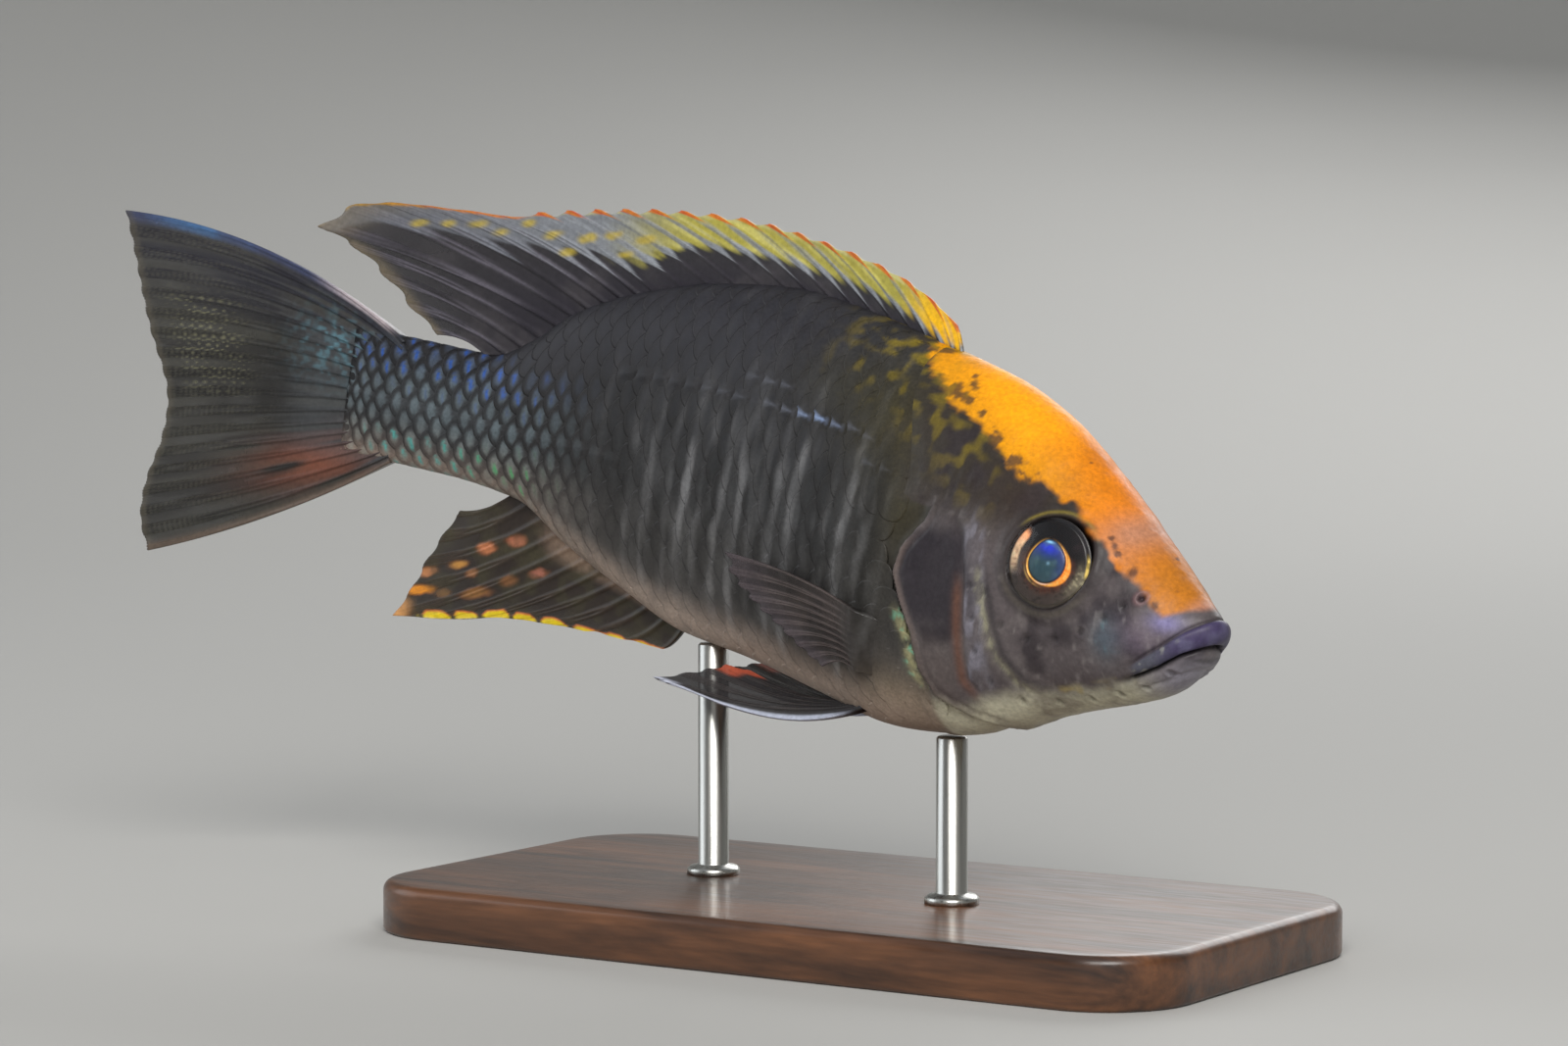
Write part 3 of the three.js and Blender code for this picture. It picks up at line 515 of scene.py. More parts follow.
def opercle_colour(colour, points):
    """Dark patch, brown band and lilac band of the gill cover, over the given colour."""
    s, z = side_view(points)
    ahead, along = polyline_distance(s, z, GILL_OPENING)
    on_cover = smooth(ahead, -0.1, 0.2) * smooth(s, 24.2, 26.2)
    dark = on_cover * within(z, -9.5, -4.5, 1.5, 5.5) * smooth(ahead, 0.2, 1.2)
    colour = paint(colour, [
        ((36, 32, 38), 0.9 * dark),
        ((104, 90, 84), 0.6 * on_cover * hump(ahead, 0.35, 0.4) * smooth(along, 0.1, 0.2)),
        ((84, 75, 72), 0.6 * on_cover * smooth(z, -6, -10)),
    ])
    offset, strength = near_line(s, z, PREOPERCLE, 0.2, 0.85)
    upright = noise(points * [1, 1, 0.3], 0.5, 45)
    band = within(offset, -0.1, 0.3, 1.6, 2.9) * strength
    colour = paint(colour, [
        ((92, 62, 50), 0.85 * strength * hump(offset, -0.75, 0.5) * smooth(z, 0, -3)),
        ((112, 109, 118), band * lerp(0.2, 0.95, smooth(upright, -0.3, 0.6))),
    ])
    edge, strength = near_line(s, z, CHEEK_EDGE, 0.2, 0.75)
    cells = smooth(noise(points, 0.55, 47), -0.1, 0.4)
    gold = strength * hump(edge, 0.1, 0.5) * lerp(0.25, 1, cells)
    return paint(colour, [
        ((146, 142, 120), 0.85 * gold),
        ((34, 30, 34), 0.6 * strength * hump(edge, 1.1, 0.4)),
    ])


def jaw_colour(colour, points):
    """Pale underside of the head, over the given colour."""
    s, z = side_view(points)
    jaw_edge = line_height(s, [(1, -2.1), (7, -6.2), (12, -8.2), (20, -10.6), (26, -13)])
    rough = 0.6 * cloud(points, 1.6, 3, 46)
    chin = smooth(z + rough, jaw_edge + 0.7, jaw_edge - 1.5)
    pale = mix(srgb(196, 192, 168), srgb(162, 156, 138), smooth(cloud(points, 1.6, 3, 48), -0.1, 0.5))
    pale = mix(pale, srgb(138, 134, 144), smooth(s, 8.5, 4))
    colour = mix(colour, pale, 0.92 * chin)
    gold = smooth(noise(points, 0.8, 49), 0.1, 0.7) * hump(z, jaw_edge - 0.2, 0.45)
    return mix(colour, srgb(168, 150, 92), 0.6 * gold * within(s, 6.5, 8, 14, 18))


def eyelid_colour(colour, points):
    """Skin round the eye, with painted shade in the gap about the eyeball, over the given colour."""
    s, z = side_view(points)
    r = from_centre(EYE, s, z)
    upper = smooth(z, EYE["z"] + 2.2, EYE["z"] + 3.6)
    lower = smooth(z, EYE["z"] - 1.2, EYE["z"] - 3.2)
    return paint(colour, [
        ((40, 34, 34), 0.75 * smooth(r, 5.9, 4.3)),
        # painted shade in the socket, where it shows between the eyeball and the rim
        ((24, 19, 19), 0.9 * smooth(r, 4.25, 4.05)),
        ((116, 102, 40), 0.8 * hump(r, 4.5, 0.15) * upper),
        ((84, 78, 70), 0.6 * hump(r, 4.7, 0.3) * lower),
    ])


def head_colour(points):
    """Colour of the bare skin of the head, outside the blaze and the lips."""
    s, z = side_view(points)
    colour = mix(srgb(80, 73, 74), srgb(46, 40, 34), smooth(z, 2, 7))
    pale = smooth(noise(points * [1, 1, 0.5], 0.45, 42), 0.45, 0.85)
    colour = paint(colour, [
        ((98, 91, 90), 0.8 * smooth(cloud(points, 2.6, 3, 41), -0.05, 0.55) * smooth(z, 7, 1)),
        ((42, 36, 40), 0.8 * smooth(cloud(points, 3.4, 3, 44), 0.05, 0.5)),
        ((124, 118, 116), 0.4 * pale * smooth(z, 8, 2)),
        ((52, 40, 36), 0.5 * hump(s, 22, 4) * hump(z, 7.5, 3)),
    ])
    colour = opercle_colour(colour, points)
    colour = jaw_colour(colour, points)
    colour = eyelid_colour(colour, points)
    sheen = hump(s, 4.8, 1.3) * hump(z, -0.5, 0.8)
    flecks = smooth(noise(points, 0.5, 50), 0.3, 0.7) * hump(s, 9.3, 0.9) * hump(z, -2.7, 1.1)
    return paint(colour, [
        ((126, 120, 168), 0.75 * sheen),
        ((104, 92, 108), 0.5 * hump(s, 6.5, 2.4) * hump(z, -2.2, 1.6)),
        ((62, 84, 98), 0.5 * hump(s, 9.6, 1.4) * hump(z, -3.0, 1.8)),
        ((84, 140, 152), 0.6 * flecks),
    ])


def lip_colour(colour, points):
    """Purple upper lip, with painted shade in the line of the mouth and in the crease over the lip, over the
    given colour.
    """
    s, z = side_view(points)
    share, above, upper_tall, _ = lip_place(s, z)
    fade = smooth(s, LIP["corner"] + 0.4, LIP["corner"] - 0.8)
    on_upper = smooth(above, 0.0, 0.12) * smooth(above, upper_tall + 0.1, upper_tall - 0.15) * fade
    purple = mix(srgb(60, 52, 84), srgb(82, 78, 106), smooth(noise(points, 0.9, 51), 0, 0.8))
    pale = smooth(noise(points, 0.45, 52), 0.35, 0.7) * smooth(share, 0.25, 0.5)
    purple = paint(purple, [
        ((74, 75, 86), smooth(share, 0.3, 0.75)),
        ((140, 140, 132), 0.55 * pale),
    ])
    colour = mix(colour, purple, 0.94 * on_upper)
    # Painted shade: near black in the slit of the mouth, and darker in the crease over the upper lip.
    dark = hump(above, 0, 0.22) * smooth(s, LIP["corner"] + 1.6, LIP["corner"] - 0.5)
    crease = 0.5 * hump(above, upper_tall + 0.12, 0.25) * fade
    return paint(colour, [
        ((38, 32, 42), crease),
        ((20, 17, 22), 0.9 * dark),
    ])


FLANK_BANDS = (33.6, 40.9, 48.7, 56.4, 62.5, 69.2, 75.6)
STREAK_PITCH = 2.45


def flank_streaks(points):
    """Upright light bands, each of a few thin streaks along the columns of scales, 0 to 1."""
    s, z = side_view(points)
    lean = s + 0.04 * z + 0.5 * noise(points, 6, 60) + 0.22 * noise(points, 1.8, 62)
    band = 0
    for centre in FLANK_BANDS:
        band = np.maximum(band, hump(lean, centre, 1.9))
    thin = smooth(np.cos(2 * math.pi * (lean - 40.8) / STREAK_PITCH), -0.5, 0.9)
    patchy = smooth(noise(points * [1, 1, 0.32], 1.0, 61), -0.5, 0.7)
    smudged = smooth(noise(points * [1, 1, 0.22], 0.8, 68), -0.1, 0.8)
    streak = 0.16 * band + 0.22 * smudged + thin * lerp(0.15, 0.85, band) * lerp(0.12, 1, patchy)
    return np.clip(streak, 0, 1) * within(s, 33, 36, 64, 82)


def flank_colour(points):
    """Colour of the scaled skin: light streaks between dark bars, and a pale belly."""
    s, z = side_view(points)
    top, bottom, _, _ = section(s)
    height = (z - bottom) / np.maximum(top - bottom, 1)
    colour = paint(BODY, [
        ((38, 37, 41), 0.8 * smooth(height, 0.55, 0.85)),
        ((78, 75, 73), 0.6 * smooth(height, 0.4, 0.1)),
    ])
    for at_s, at_z, reach_s, reach_z, patch, strength in PATCHES:
        amount = np.exp(-(((s - at_s) / reach_s) ** 2) - ((z - at_z) / reach_z) ** 2)
        colour = mix(colour, srgb(*patch), strength * amount)
    streaks = flank_streaks(points)
    barred = within(s, 34, 38, 70, 86) * smooth(height, 0.02, 0.2)
    uneven = height + 0.06 * noise(points, 2.2, 70)
    lit = lerp(0.05, 0.66, smooth(uneven, 0.84, 0.5)) * lerp(0.7, 1, smooth(s, 62, 46))
    belly = smooth(height, 0.16, 0.02) * smooth(s, 24, 34)
    fringed = lerp(0.7, 1, smooth(noise(points * [1.4, 1, 0.5], 0.9, 69), -0.4, 0.4))
    colour = paint(colour, [
        ((24, 23, 23), 0.72 * barred * (1 - streaks) * smooth(height, 0.9, 0.62)),
        ((136, 136, 138), lit * barred * streaks**1.3),
        ((172, 153, 139), 0.8 * belly * fringed),
    ])
    return colour * (1 + 0.2 * cloud(points, 2.4, 3, 63))[..., None]


def body_colour(points):
    """Colour of the skin at points of the smooth body, on either side."""
    s, z = side_view(points)
    outside = -above_blaze_edge(points)
    olive = smooth(noise(points, 1.0, 64), 0.0, 0.5) * smooth(outside, 8, 1)
    olive = olive * within(s, 22, 28, 42, 52)
    behind, _ = polyline_distance(s, z, GILL_OPENING)
    front = smooth(behind, -0.25, 0.05) * smooth(s, 33.8, 33.4)
    nape = lerp(33.5, 36.5, smooth(z, 4, 12)) + 1.6 * cloud(points, 3.0, 2, 65)
    on_head = np.where(z > 4.5, smooth(s, nape + 3, nape - 3), np.maximum(front, smooth(s, 29.6, 28.6)))
    colour = mix(flank_colour(points), OLIVE, 0.6 * olive * smooth(outside, -3, 0))
    colour = mix(colour, head_colour(points), on_head)
    colour = mix(colour, OLIVE, 0.45 * olive * on_head * smooth(outside, -3, 0))
    shoulder = hump(behind, -0.9, 0.6) * within(z, -13, -11.5, -7.5, -4.5) * smooth(s, 28.5, 29.5)
    sparkle = noise(points, 0.5, 66)
    colour = paint(colour, [
        ((160, 156, 116), 0.8 * shoulder * smooth(sparkle, -0.7, 0.2)),
        ((96, 196, 166), 0.85 * shoulder * smooth(sparkle, 0.3, 0.55)),
    ])
    colour = lip_colour(mix(colour, blaze_colour(points), blaze_share(points)), points)
    for speck_s, speck_z, size in BLAZE_SPECKS:
        off = np.abs(points[..., 1]) - side_at(speck_s, speck_z)
        r = np.sqrt((s - speck_s) ** 2 + off**2 + (z - speck_z) ** 2) + 0.25 * noise(points, 0.5, 67)
        colour = mix(colour, srgb(58, 34, 28), 0.8 * smooth(r, size, size * 0.4))
    for pore_s, pore_z, radius in PORES:
        r = np.hypot(s - pore_s, z - pore_z) / radius
        colour = mix(colour, colour * 0.45, 0.75 * smooth(r, 1.0, 0.45))
    r = from_centre(NOSTRIL, s, z)
    return paint(colour, [
        ((112, 84, 86), 0.7 * hump(r, NOSTRIL["radius"], 0.2)),
        ((46, 34, 38), 0.9 * smooth(r, 0.36, 0.2)),
    ])


# Meshes


def new_mesh(name, points, faces, colours, floats=None):
    """Mesh object of straight-fish points, bent into the pose, with its colours."""
    return mesh_object(name, posed(points), faces, colours, floats, flip=True)


def mesh_object(name, places, faces, colours=None, floats=None, flip=False):
    """Mesh object of points in metres. The floats become attributes of its points."""
    faces = np.asarray(faces)
    if flip:
        faces = faces[:, ::-1]
    mesh = bpy.data.meshes.new(name)
    corners = faces.shape[1]
    mesh.vertices.add(len(places))
    mesh.vertices.foreach_set("co", np.asarray(places, np.float32).ravel())
    mesh.loops.add(faces.size)
    mesh.loops.foreach_set("vertex_index", faces.astype(np.int32).ravel())
    mesh.polygons.add(len(faces))
    mesh.polygons.foreach_set("loop_start", np.arange(0, faces.size, corners, dtype=np.int32))
    mesh.polygons.foreach_set("use_smooth", np.ones(len(faces), bool))
    mesh.update(calc_edges=True)
    mesh.validate()
    if colours is not None:
        layer = mesh.color_attributes.new("Marks", "FLOAT_COLOR", "POINT")
        rgba = np.concatenate([np.clip(colours, 0, 1), np.ones((len(places), 1))], 1)
        layer.data.foreach_set("color", rgba.astype(np.float32).ravel())
    for key, values in (floats or {}).items():
        layer = mesh.attributes.new(key, "FLOAT", "POINT")
        layer.data.foreach_set("value", np.asarray(values, np.float32).ravel())
    obj = bpy.data.objects.new(name, mesh)
    bpy.context.scene.collection.objects.link(obj)
    return obj


def grid_faces(rows, columns, closed=False, start=0):
    """Quads of a grid of points, joined round where closed."""
    i = np.arange(rows - 1)[:, None]
    j = np.arange(columns if closed else columns - 1)[None, :]
    k = (j + 1) % columns
    a, b = i * columns + j, (i + 1) * columns + j
    c, d = (i + 1) * columns + k, i * columns + k
    return start + np.stack([a, b, c, d], -1).reshape(-1, 4)


# Skin

SKIN_HALF_SIDES = 136
SHARE_STEPS = 400
SKIN_INSET_SCALED = 0.2  # under the scales
SKIN_INSET_BARE = 0.05


def skin_stations():
    """Places of the skin's rings along the body, closest at the snout and on the head."""
    nose = TIP * SL + 0.03 + 1.6 * np.linspace(0, 1, 20) ** 1.8
    mouth = np.arange(nose[-1] + 0.12, 9.0, 0.12)
    head = np.arange(mouth[-1] + 0.185, 34.6, 0.185)
    body = np.arange(34.9, SL, 0.6)
    tail = np.linspace(SL, SKIN_END, 14)
    return np.concatenate([nose, mouth, head, body, tail])


def skin_shares(stations):
    """Shares of the girth for each ring, closer together over the mouth and the eye."""
    fine = np.linspace(0, 1, SHARE_STEPS)
    shares = np.empty((len(stations), SKIN_HALF_SIDES + 1))
    for k, s in enumerate(stations):
        z = surface(np.full(SHARE_STEPS, s), fine)[:, 2]
        mouth = 5.0 * hump(z, line_height(s, MOUTH_LINE), 0.9) * smooth(s, 10, 6)
        lips = 2.0 * hump(z, line_height(s, MOUTH_LINE), 2.4) * smooth(s, 11, 6)
        reach = math.exp(-(((s - EYE["s"]) / 5.6) ** 4))
        eye = 1.2 * reach * np.exp(-(((z - EYE["z"]) / 5.4) ** 4))
        weight = 1 + mouth + lips + eye
        total = np.concatenate([[0], np.cumsum((weight[1:] + weight[:-1]) / 2)])
        shares[k] = np.interp(np.linspace(0, total[-1], SKIN_HALF_SIDES + 1), total, fine)
    return shares


def mirrored(points):
    """The same places on the other side of the fish."""
    return points * [1, -1, 1]


def fan(centre, start, count):
    """Faces from one point to a closed ring of points, as quads that repeat their last corner."""
    j = np.arange(count)
    following = start + (j + 1) % count
    return np.stack([np.full(count, centre), start + j, following, following], -1)


def make_skin():
    """Skin of the whole body as one closed surface, a little under the smooth body."""
    stations = skin_stations()
    shares = skin_shares(stations)
    s = np.repeat(stations[:, None], SKIN_HALF_SIDES + 1, 1)
    left = surface(s, shares)
    out = outward(s, shares)
    inset = lerp(SKIN_INSET_BARE, SKIN_INSET_SCALED, scaled_share(left[..., 0], left[..., 2]))
    raised = left + out * (head_relief(left) - inset)[..., None]
    raised[:, (0, -1), 1] = 0
    ring = np.concatenate([mirrored(raised), raised[:, -2:0:-1]], 1)
    base = np.concatenate([mirrored(left), left[:, -2:0:-1]], 1)
    rows, columns = ring.shape[:2]
    nose = ring[0].mean(0) - [0.03, 0, 0]
    end = ring[-1].mean(0)
    points = np.concatenate([ring.reshape(-1, 3), [nose, end]])
    paint_at = np.concatenate([base.reshape(-1, 3), [base[0].mean(0), base[-1].mean(0)]])
    count = rows * columns
    front = fan(count, 0, columns)
    rear = fan(count + 1, count - columns, columns)[:, (0, 2, 1, 1)]
    faces = triangles(np.concatenate([grid_faces(rows, columns, closed=True), front, rear]))
    return new_mesh("skin", points, faces, body_colour(paint_at))


def triangles(quads):
    """Triangles of quads, where a quad may repeat its last corner."""
    split = np.concatenate([quads[:, (0, 1, 2)], quads[:, (0, 2, 3)]])
    keep = (split[:, 0] != split[:, 1]) & (split[:, 1] != split[:, 2]) & (split[:, 2] != split[:, 0])
    return split[keep]


# Scales

SCALE_LENGTH = [(30, 2.0), (60, 2.2), (102, 2.2), (106, 1.7), (111, 1.1)]
SCALE_THICKNESS = 0.24
SCALE_RINGS = (0.22, 0.38, 0.52, 0.66, 0.8, 0.92, 1.0)
SCALE_SPOKES = 24
AXIS_STEPS = 200
SCALES_FROM = 29.5
SCALES_TO = 109.5
SCALES_SPLIT = 62.0  # each side is two coats, one before and one behind this
SCALE_SEEDS = {1: 5, -1: 6}
COLUMN_SPACING = [(30, 1.9), (36, 2.15), (60, 2.2), (102, 2.15), (106, 1.7), (111, 1.1)]
ROW_SPACING = [(30, 1.9), (42, 2.3), (60, 2.35), (80, 2.1), (92, 1.8), (103, 1.7), (110, 1.2)]


def scale_centres(seed):
    """For each scale of one side: s, share of the girth, space to the next row, and a chance."""
    rng = np.random.default_rng(seed)
    columns = [SCALES_FROM]
    while columns[-1] < SCALES_TO:
        s = columns[-1]
        columns.append(s + 0.5 * line_height(s, COLUMN_SPACING))
    found = []
    for k, s in enumerate(columns):
        girth = girth_at(s)
        share_of_axis = axis_share(s)
        spacing = line_height(s, ROW_SPACING)
        first = -int(share_of_axis * girth / spacing) - 1
        last = int((1 - share_of_axis) * girth / spacing) + 1
        for row in range(first, last + 1):
            if (row + k) % 2:
                continue
            share = share_of_axis + row * spacing / girth + rng.normal(0, 0.0016)
            if not -0.004 < share < 1.004:
                continue
            found.append((s + rng.normal(0, 0.05), share, spacing, rng.random()))
    return np.array(found)


def axis_share(s):
    """Share of the girth at the body axis."""
    shares = np.linspace(0, 1, AXIS_STEPS)
    z = surface(np.full(AXIS_STEPS, s), shares)[:, 2]
    return float(np.interp(-0.3, -z, shares))


def scale_colours(centres, unit, at, seed):
    """Colour of every scale's points. unit is each point's place in its scale, from -1 to 1."""
    s, share, _, chance = centres.T
    u, v = unit[..., 0], unit[..., 1]
    base = body_colour(at)
    z = at[:, 0, 2]
    net = (smooth(s, 72, 90) * smooth(z, 8.5, 5.5))[:, None]  # the net of light scales on the stalk
    shown = (1 - blaze_share(at)) * smooth(s, 34, 40)[:, None]
    columns = np.stack([s, share * 14, np.full(len(s), float(seed))], -1)
    bright = smooth(noise(columns, 3, 81) + 0.9 * (chance - 0.5), -0.5, 0.7)
    colour = base * lerp(0.92, 1.08, chance)[:, None, None]
    uneven = 0.28 * noise(at, 0.6, 82)
    pearl = smooth(np.hypot((u - 0.5) / 0.29, v / 0.52) + uneven, 1.25, 0.65)
    light = mix(srgb(90, 102, 108), srgb(120, 120, 114), smooth(at[..., 2], 0, -5))
    light = mix(light, srgb(68, 80, 100), smooth(at[..., 2], 2, 6))
    colour = mix(colour, light, ((0.45 + 0.35 * bright)[:, None] * net + 0.03) * pearl * shown)
    edge = smooth(np.hypot(u, v), 0.72, 0.95)
    dark = lerp(0.06, 0.6, net) * edge + 0.5 * net * (1 - pearl)
    colour = mix(colour, base * 0.42, np.clip(dark, 0, 0.85) * shown)
    low = v + 0.25 - 0.5 * chance[:, None]
    spot = smooth(np.hypot((u - 0.5 + 0.3 * low) / 0.12, low / 0.34) + uneven, 1.2, 0.5)
    many = smooth(chance, 0.1, 0.5)
    blue = within(s, 78, 90, 104, 109) * within(z, 1.2, 4.2, 6.6, 7.9) * many
    cyan = within(s, 78, 86, 101, 107) * within(z, -6.9, -5.8, -3.0, -1.4) * many
    green = mix(srgb(74, 176, 170), srgb(84, 178, 112), smooth(s, 96, 86)[:, None] * np.ones(u.shape))
    colour = mix(colour, srgb(46, 92, 180), 0.75 * blue[:, None] * spot)
    colour = mix(colour, green, 0.75 * cyan[:, None] * spot)
    colour, on_line = lateral_line_marks(colour, s, z, u, v)
    flash = 0.8 * (blue + cyan)[:, None] * spot + 0.12 * pearl * bright[:, None] * net * shown
    return np.clip(colour, 0, 1), np.clip(flash, 0, 1), on_line


def lateral_line_marks(colour, s, z, u, v):
    """Pale tube of each lateral line scale, brightest over the shoulder, where a painted highlight lies on
    it, and which scales have one.
    """
    start, end = UPPER_LATERAL_LINE[0][0], UPPER_LATERAL_LINE[-1][0]
    upper = np.abs(z - line_height(s, UPPER_LATERAL_LINE)) + 9 * (s > end) + 9 * (s < start)
    lower = np.abs(z - line_height(s, LOWER_LATERAL_LINE)) + 9 * (s < 72)
    on_line = smooth(np.minimum(upper, lower), 1.25, 0.9)
    tube = hump(v, 0, 0.06) * within(u, -0.1, 0.15, 0.85, 1.0)
    shown = lerp(0.02, 0.42, hump(s, 49, 9))
    # gleam: a painted highlight along the tubes over the shoulder
    gleam = hump(s, 46.6, 2.2) * on_line
    colour = paint(colour, [
        ((110, 113, 126), (shown * on_line)[:, None] * tube),
        ((128, 150, 190), (0.7 * gleam)[:, None] * hump(v, 0, 0.07) * smooth(u, -0.1, 0.2)),
    ])
    return colour, on_line


def behind_head(s, z):
    """How far a place is behind the front edge of the scales."""
    behind, _ = polyline_distance(s, z, GILL_OPENING)
    gap = 1.1 + 2.6 * hump(z, 3.0, 3.6)
    below = np.minimum(-behind - gap, s - SCALES_FROM)
    return np.where(z > 5, s - 34.3 - 0.12 * z, below)


def scale_unit():
    """One scale's points from -1 to 1 along and across it: the rings of its top, then its underside."""
    turn = np.linspace(0, 2 * math.pi, SCALE_SPOKES, endpoint=False)
    along, across = np.cos(turn), np.sin(turn)
    outline = np.stack([
        np.sign(along) * np.abs(along) ** np.where(along > 0, 0.9, 0.7),
        np.sign(across) * np.abs(across) ** 0.9,
    ], -1)
    return np.concatenate([[[0, 0]]] + [ring * outline for ring in SCALE_RINGS] + [outline])


def laid_on_skin(s, share):
    """Places on the skin and directions out of it. A share below 0 or above 1 is past the middle."""
    past_belly = np.where(share > 1, 2 - share, share)
    folded = np.where(share < 0, -share, past_belly)
    across = np.where((share < 0) | (share > 1), -1.0, 1.0)
    place = surface(s, folded)
    out = outward(s, folded)
    place[..., 1] *= across
    out[..., 1] *= across
    return place, out


def scale_relief(s, share, from_front):
    """How far each scale stands up, 0 to 1: least by the head, on the belly and at the tail's root."""
    z = surface(s, np.clip(share, 0, 1))[:, 2]
    top, bottom, _, _ = section(s)
    above_belly = smooth((z - bottom) / (top - bottom), 0.04, 0.22)
    relief = lerp(0.2, 1.0, scaled_share(s, z)) * lerp(0.1, 1.0, smooth(from_front, 0, 7))
    relief = relief * smooth(s, 111, 103)
    return relief * lerp(0.5, 1.0, above_belly) * lerp(0.3, 0.9, smooth(s, 64, 86))


def make_scales(name, side, low, high, seed):
    """One side's scales with roots from low to high along the body, as one mesh."""
    centres = scale_centres(seed)
    s, share = centres[:, 0], centres[:, 1]
    from_front = behind_head(s, surface(s, share)[:, 2])
    kept = (from_front > 0) & (s >= low) & (s < high)
    centres, from_front = centres[kept], from_front[kept]
    s, share, spacing, chance = centres.T
    unit = scale_unit()
    length = 0.95 * line_height(s, SCALE_LENGTH)
    height = 1.06 * spacing * lerp(0.97, 1.03, chance)
    point_s = s[:, None] + unit[:, 0] * length[:, None]
    point_share = share[:, None] + unit[:, 1] * height[:, None] / girth_at(s)[:, None]
    place, out = laid_on_skin(point_s, point_share)
    relief = scale_relief(s, share, from_front)[:, None]
    rise = lerp(-0.13, 0.13, (unit[:, 0] + 1) / 2) * relief
    crown = 0.05 * (1 - (unit**2).sum(-1)) * relief
    in_scale = np.broadcast_to(unit, (len(s), len(unit), 2))
    colours, flash, on_line = scale_colours(centres, in_scale, place, seed)
    tube = hump(unit[:, 1], 0, 0.2) * within(unit[:, 0], -0.5, -0.1, 0.6, 0.9)
    top = rise + crown - lerp(0.16, 0.1, relief) + 0.13 * on_line[:, None] * tube
    top[:, -SCALE_SPOKES:] -= SCALE_THICKNESS
    points = place + out * top[..., None]
    faces = scale_faces(len(unit))
    if side < 0:
        points = mirrored(points)
    else:
        faces = faces[:, ::-1]
    all_faces = (faces[None] + (np.arange(len(s)) * len(unit))[:, None, None]).reshape(-1, 3)
    floats = {"Flash": flash.ravel()}
    obj = new_mesh(name, points.reshape(-1, 3), all_faces, colours.reshape(-1, 3), floats)
    bake_map(obj, s, np.clip(share, 0, 1), side, unit)
    return obj


def scale_faces(count):
    """Triangles of one scale: top, edge and underside."""
    spokes = np.arange(SCALE_SPOKES)
    following = (spokes + 1) % SCALE_SPOKES
    found = [np.stack([np.zeros_like(spokes), 1 + spokes, 1 + following], -1)]
    for ring in range(len(SCALE_RINGS)):
        a = 1 + ring * SCALE_SPOKES + spokes
        b = 1 + ring * SCALE_SPOKES + following
        c, d = b + SCALE_SPOKES, a + SCALE_SPOKES
        found += [np.stack([a, d, c], -1), np.stack([a, c, b], -1)]
    last = count - SCALE_SPOKES
    for k in range(1, SCALE_SPOKES - 1):
        found.append(np.array([[last, last + k + 1, last + k]]))
    return np.concatenate(found)


OFBAKE_PATCH = 0.003


def bake_map(obj, s, share, side, unit):
    """Map OFBake: each scale is a small patch at its root's place on the unrolled skin."""
    across = 0.5 - 0.25 * side + 0.22 * (2 * share - 1)
    root = np.stack([0.02 + 0.96 * (s - SCALES_FROM) / (SCALES_TO + 2 - SCALES_FROM), across], -1)
    uv = root[:, None, :] + unit[None] * OFBAKE_PATCH / 2
    layer = obj.data.uv_layers.new(name="OFBake")
    corners = np.empty(len(obj.data.loops), np.int32)
    obj.data.loops.foreach_get("vertex_index", corners)
    layer.data.foreach_set("uv", uv.reshape(-1, 2)[corners].astype(np.float32).ravel())


# Fins


def spline(knots):
    """Curve through points, read by its share of length, as a Catmull-Rom curve."""
    p = np.array(knots, float)
    n = len(p) - 1
    t = np.linspace(0, n, 40 * n + 1)
    i = np.minimum(t.astype(int), n - 1)
    w = (t - i)[:, None]
    p0 = p[np.where(i == 0, 0, i - 1)]
    p1, p2 = p[i], p[i + 1]
    p3 = p[np.minimum(i + 2, n)]
    v0, v1 = (p2 - p0) / 2, (p3 - p1) / 2
    curve = (2 * p1 - 2 * p2 + v0 + v1) * w**3 + (-3 * p1 + 3 * p2 - 2 * v0 - v1) * w**2 + v0 * w + p1
    length = np.concatenate([[0], np.cumsum(np.linalg.norm(np.diff(curve, axis=0), axis=1))])
    length /= length[-1]

    def at(share):
        share = np.clip(share, 0, 1)
        return np.stack([np.interp(share, length, curve[:, axis]) for axis in range(p.shape[1])], -1)

    return at


def fin_mesh(name, centre, half, ridge, colours, clear):
    """Closed thin sheet over a grid of centre points, half thick to either side."""
    rows, columns = centre.shape[:2]
    out = sheet_normals(centre)
    upper = centre + out * half[..., None]
    lower = centre - out * half[..., None]
    points = np.concatenate([upper.reshape(-1, 3), lower.reshape(-1, 3)])
    count = rows * columns
    front = grid_faces(rows, columns)
    back = grid_faces(rows, columns, start=count)[:, ::-1]
    index = np.arange(count).reshape(rows, columns)
    edge = np.concatenate([index[0, :-1], index[:-1, -1], index[-1, :0:-1], index[:0:-1, 0]])
    following = np.roll(edge, -1)
    rim = np.stack([edge, following, following + count, edge + count], -1)
    faces = np.concatenate([front, back, rim])
    floats = {"Clear": clear, "Ray": ridge, "Along": fin_length(centre)}
    floats = {key: np.tile(value.ravel(), 2) for key, value in floats.items()}
    return new_mesh(name, points, faces, np.tile(colours.reshape(-1, 3), (2, 1)), floats)


def sheet_normals(centre):
    """Direction out of a grid of points."""
    along = np.gradient(centre, axis=0)
    across = np.gradient(centre, axis=1)
    out = np.cross(along, across)
    return out / np.maximum(np.linalg.norm(out, axis=-1, keepdims=True), 1e-9)


def fin_columns(rays, steps):
    """Grid columns numbered by ray, and how far each is behind the ray before it."""
    k = np.linspace(0, rays - 1, steps * (rays - 1) + 1)
    return k, k - np.floor(k)


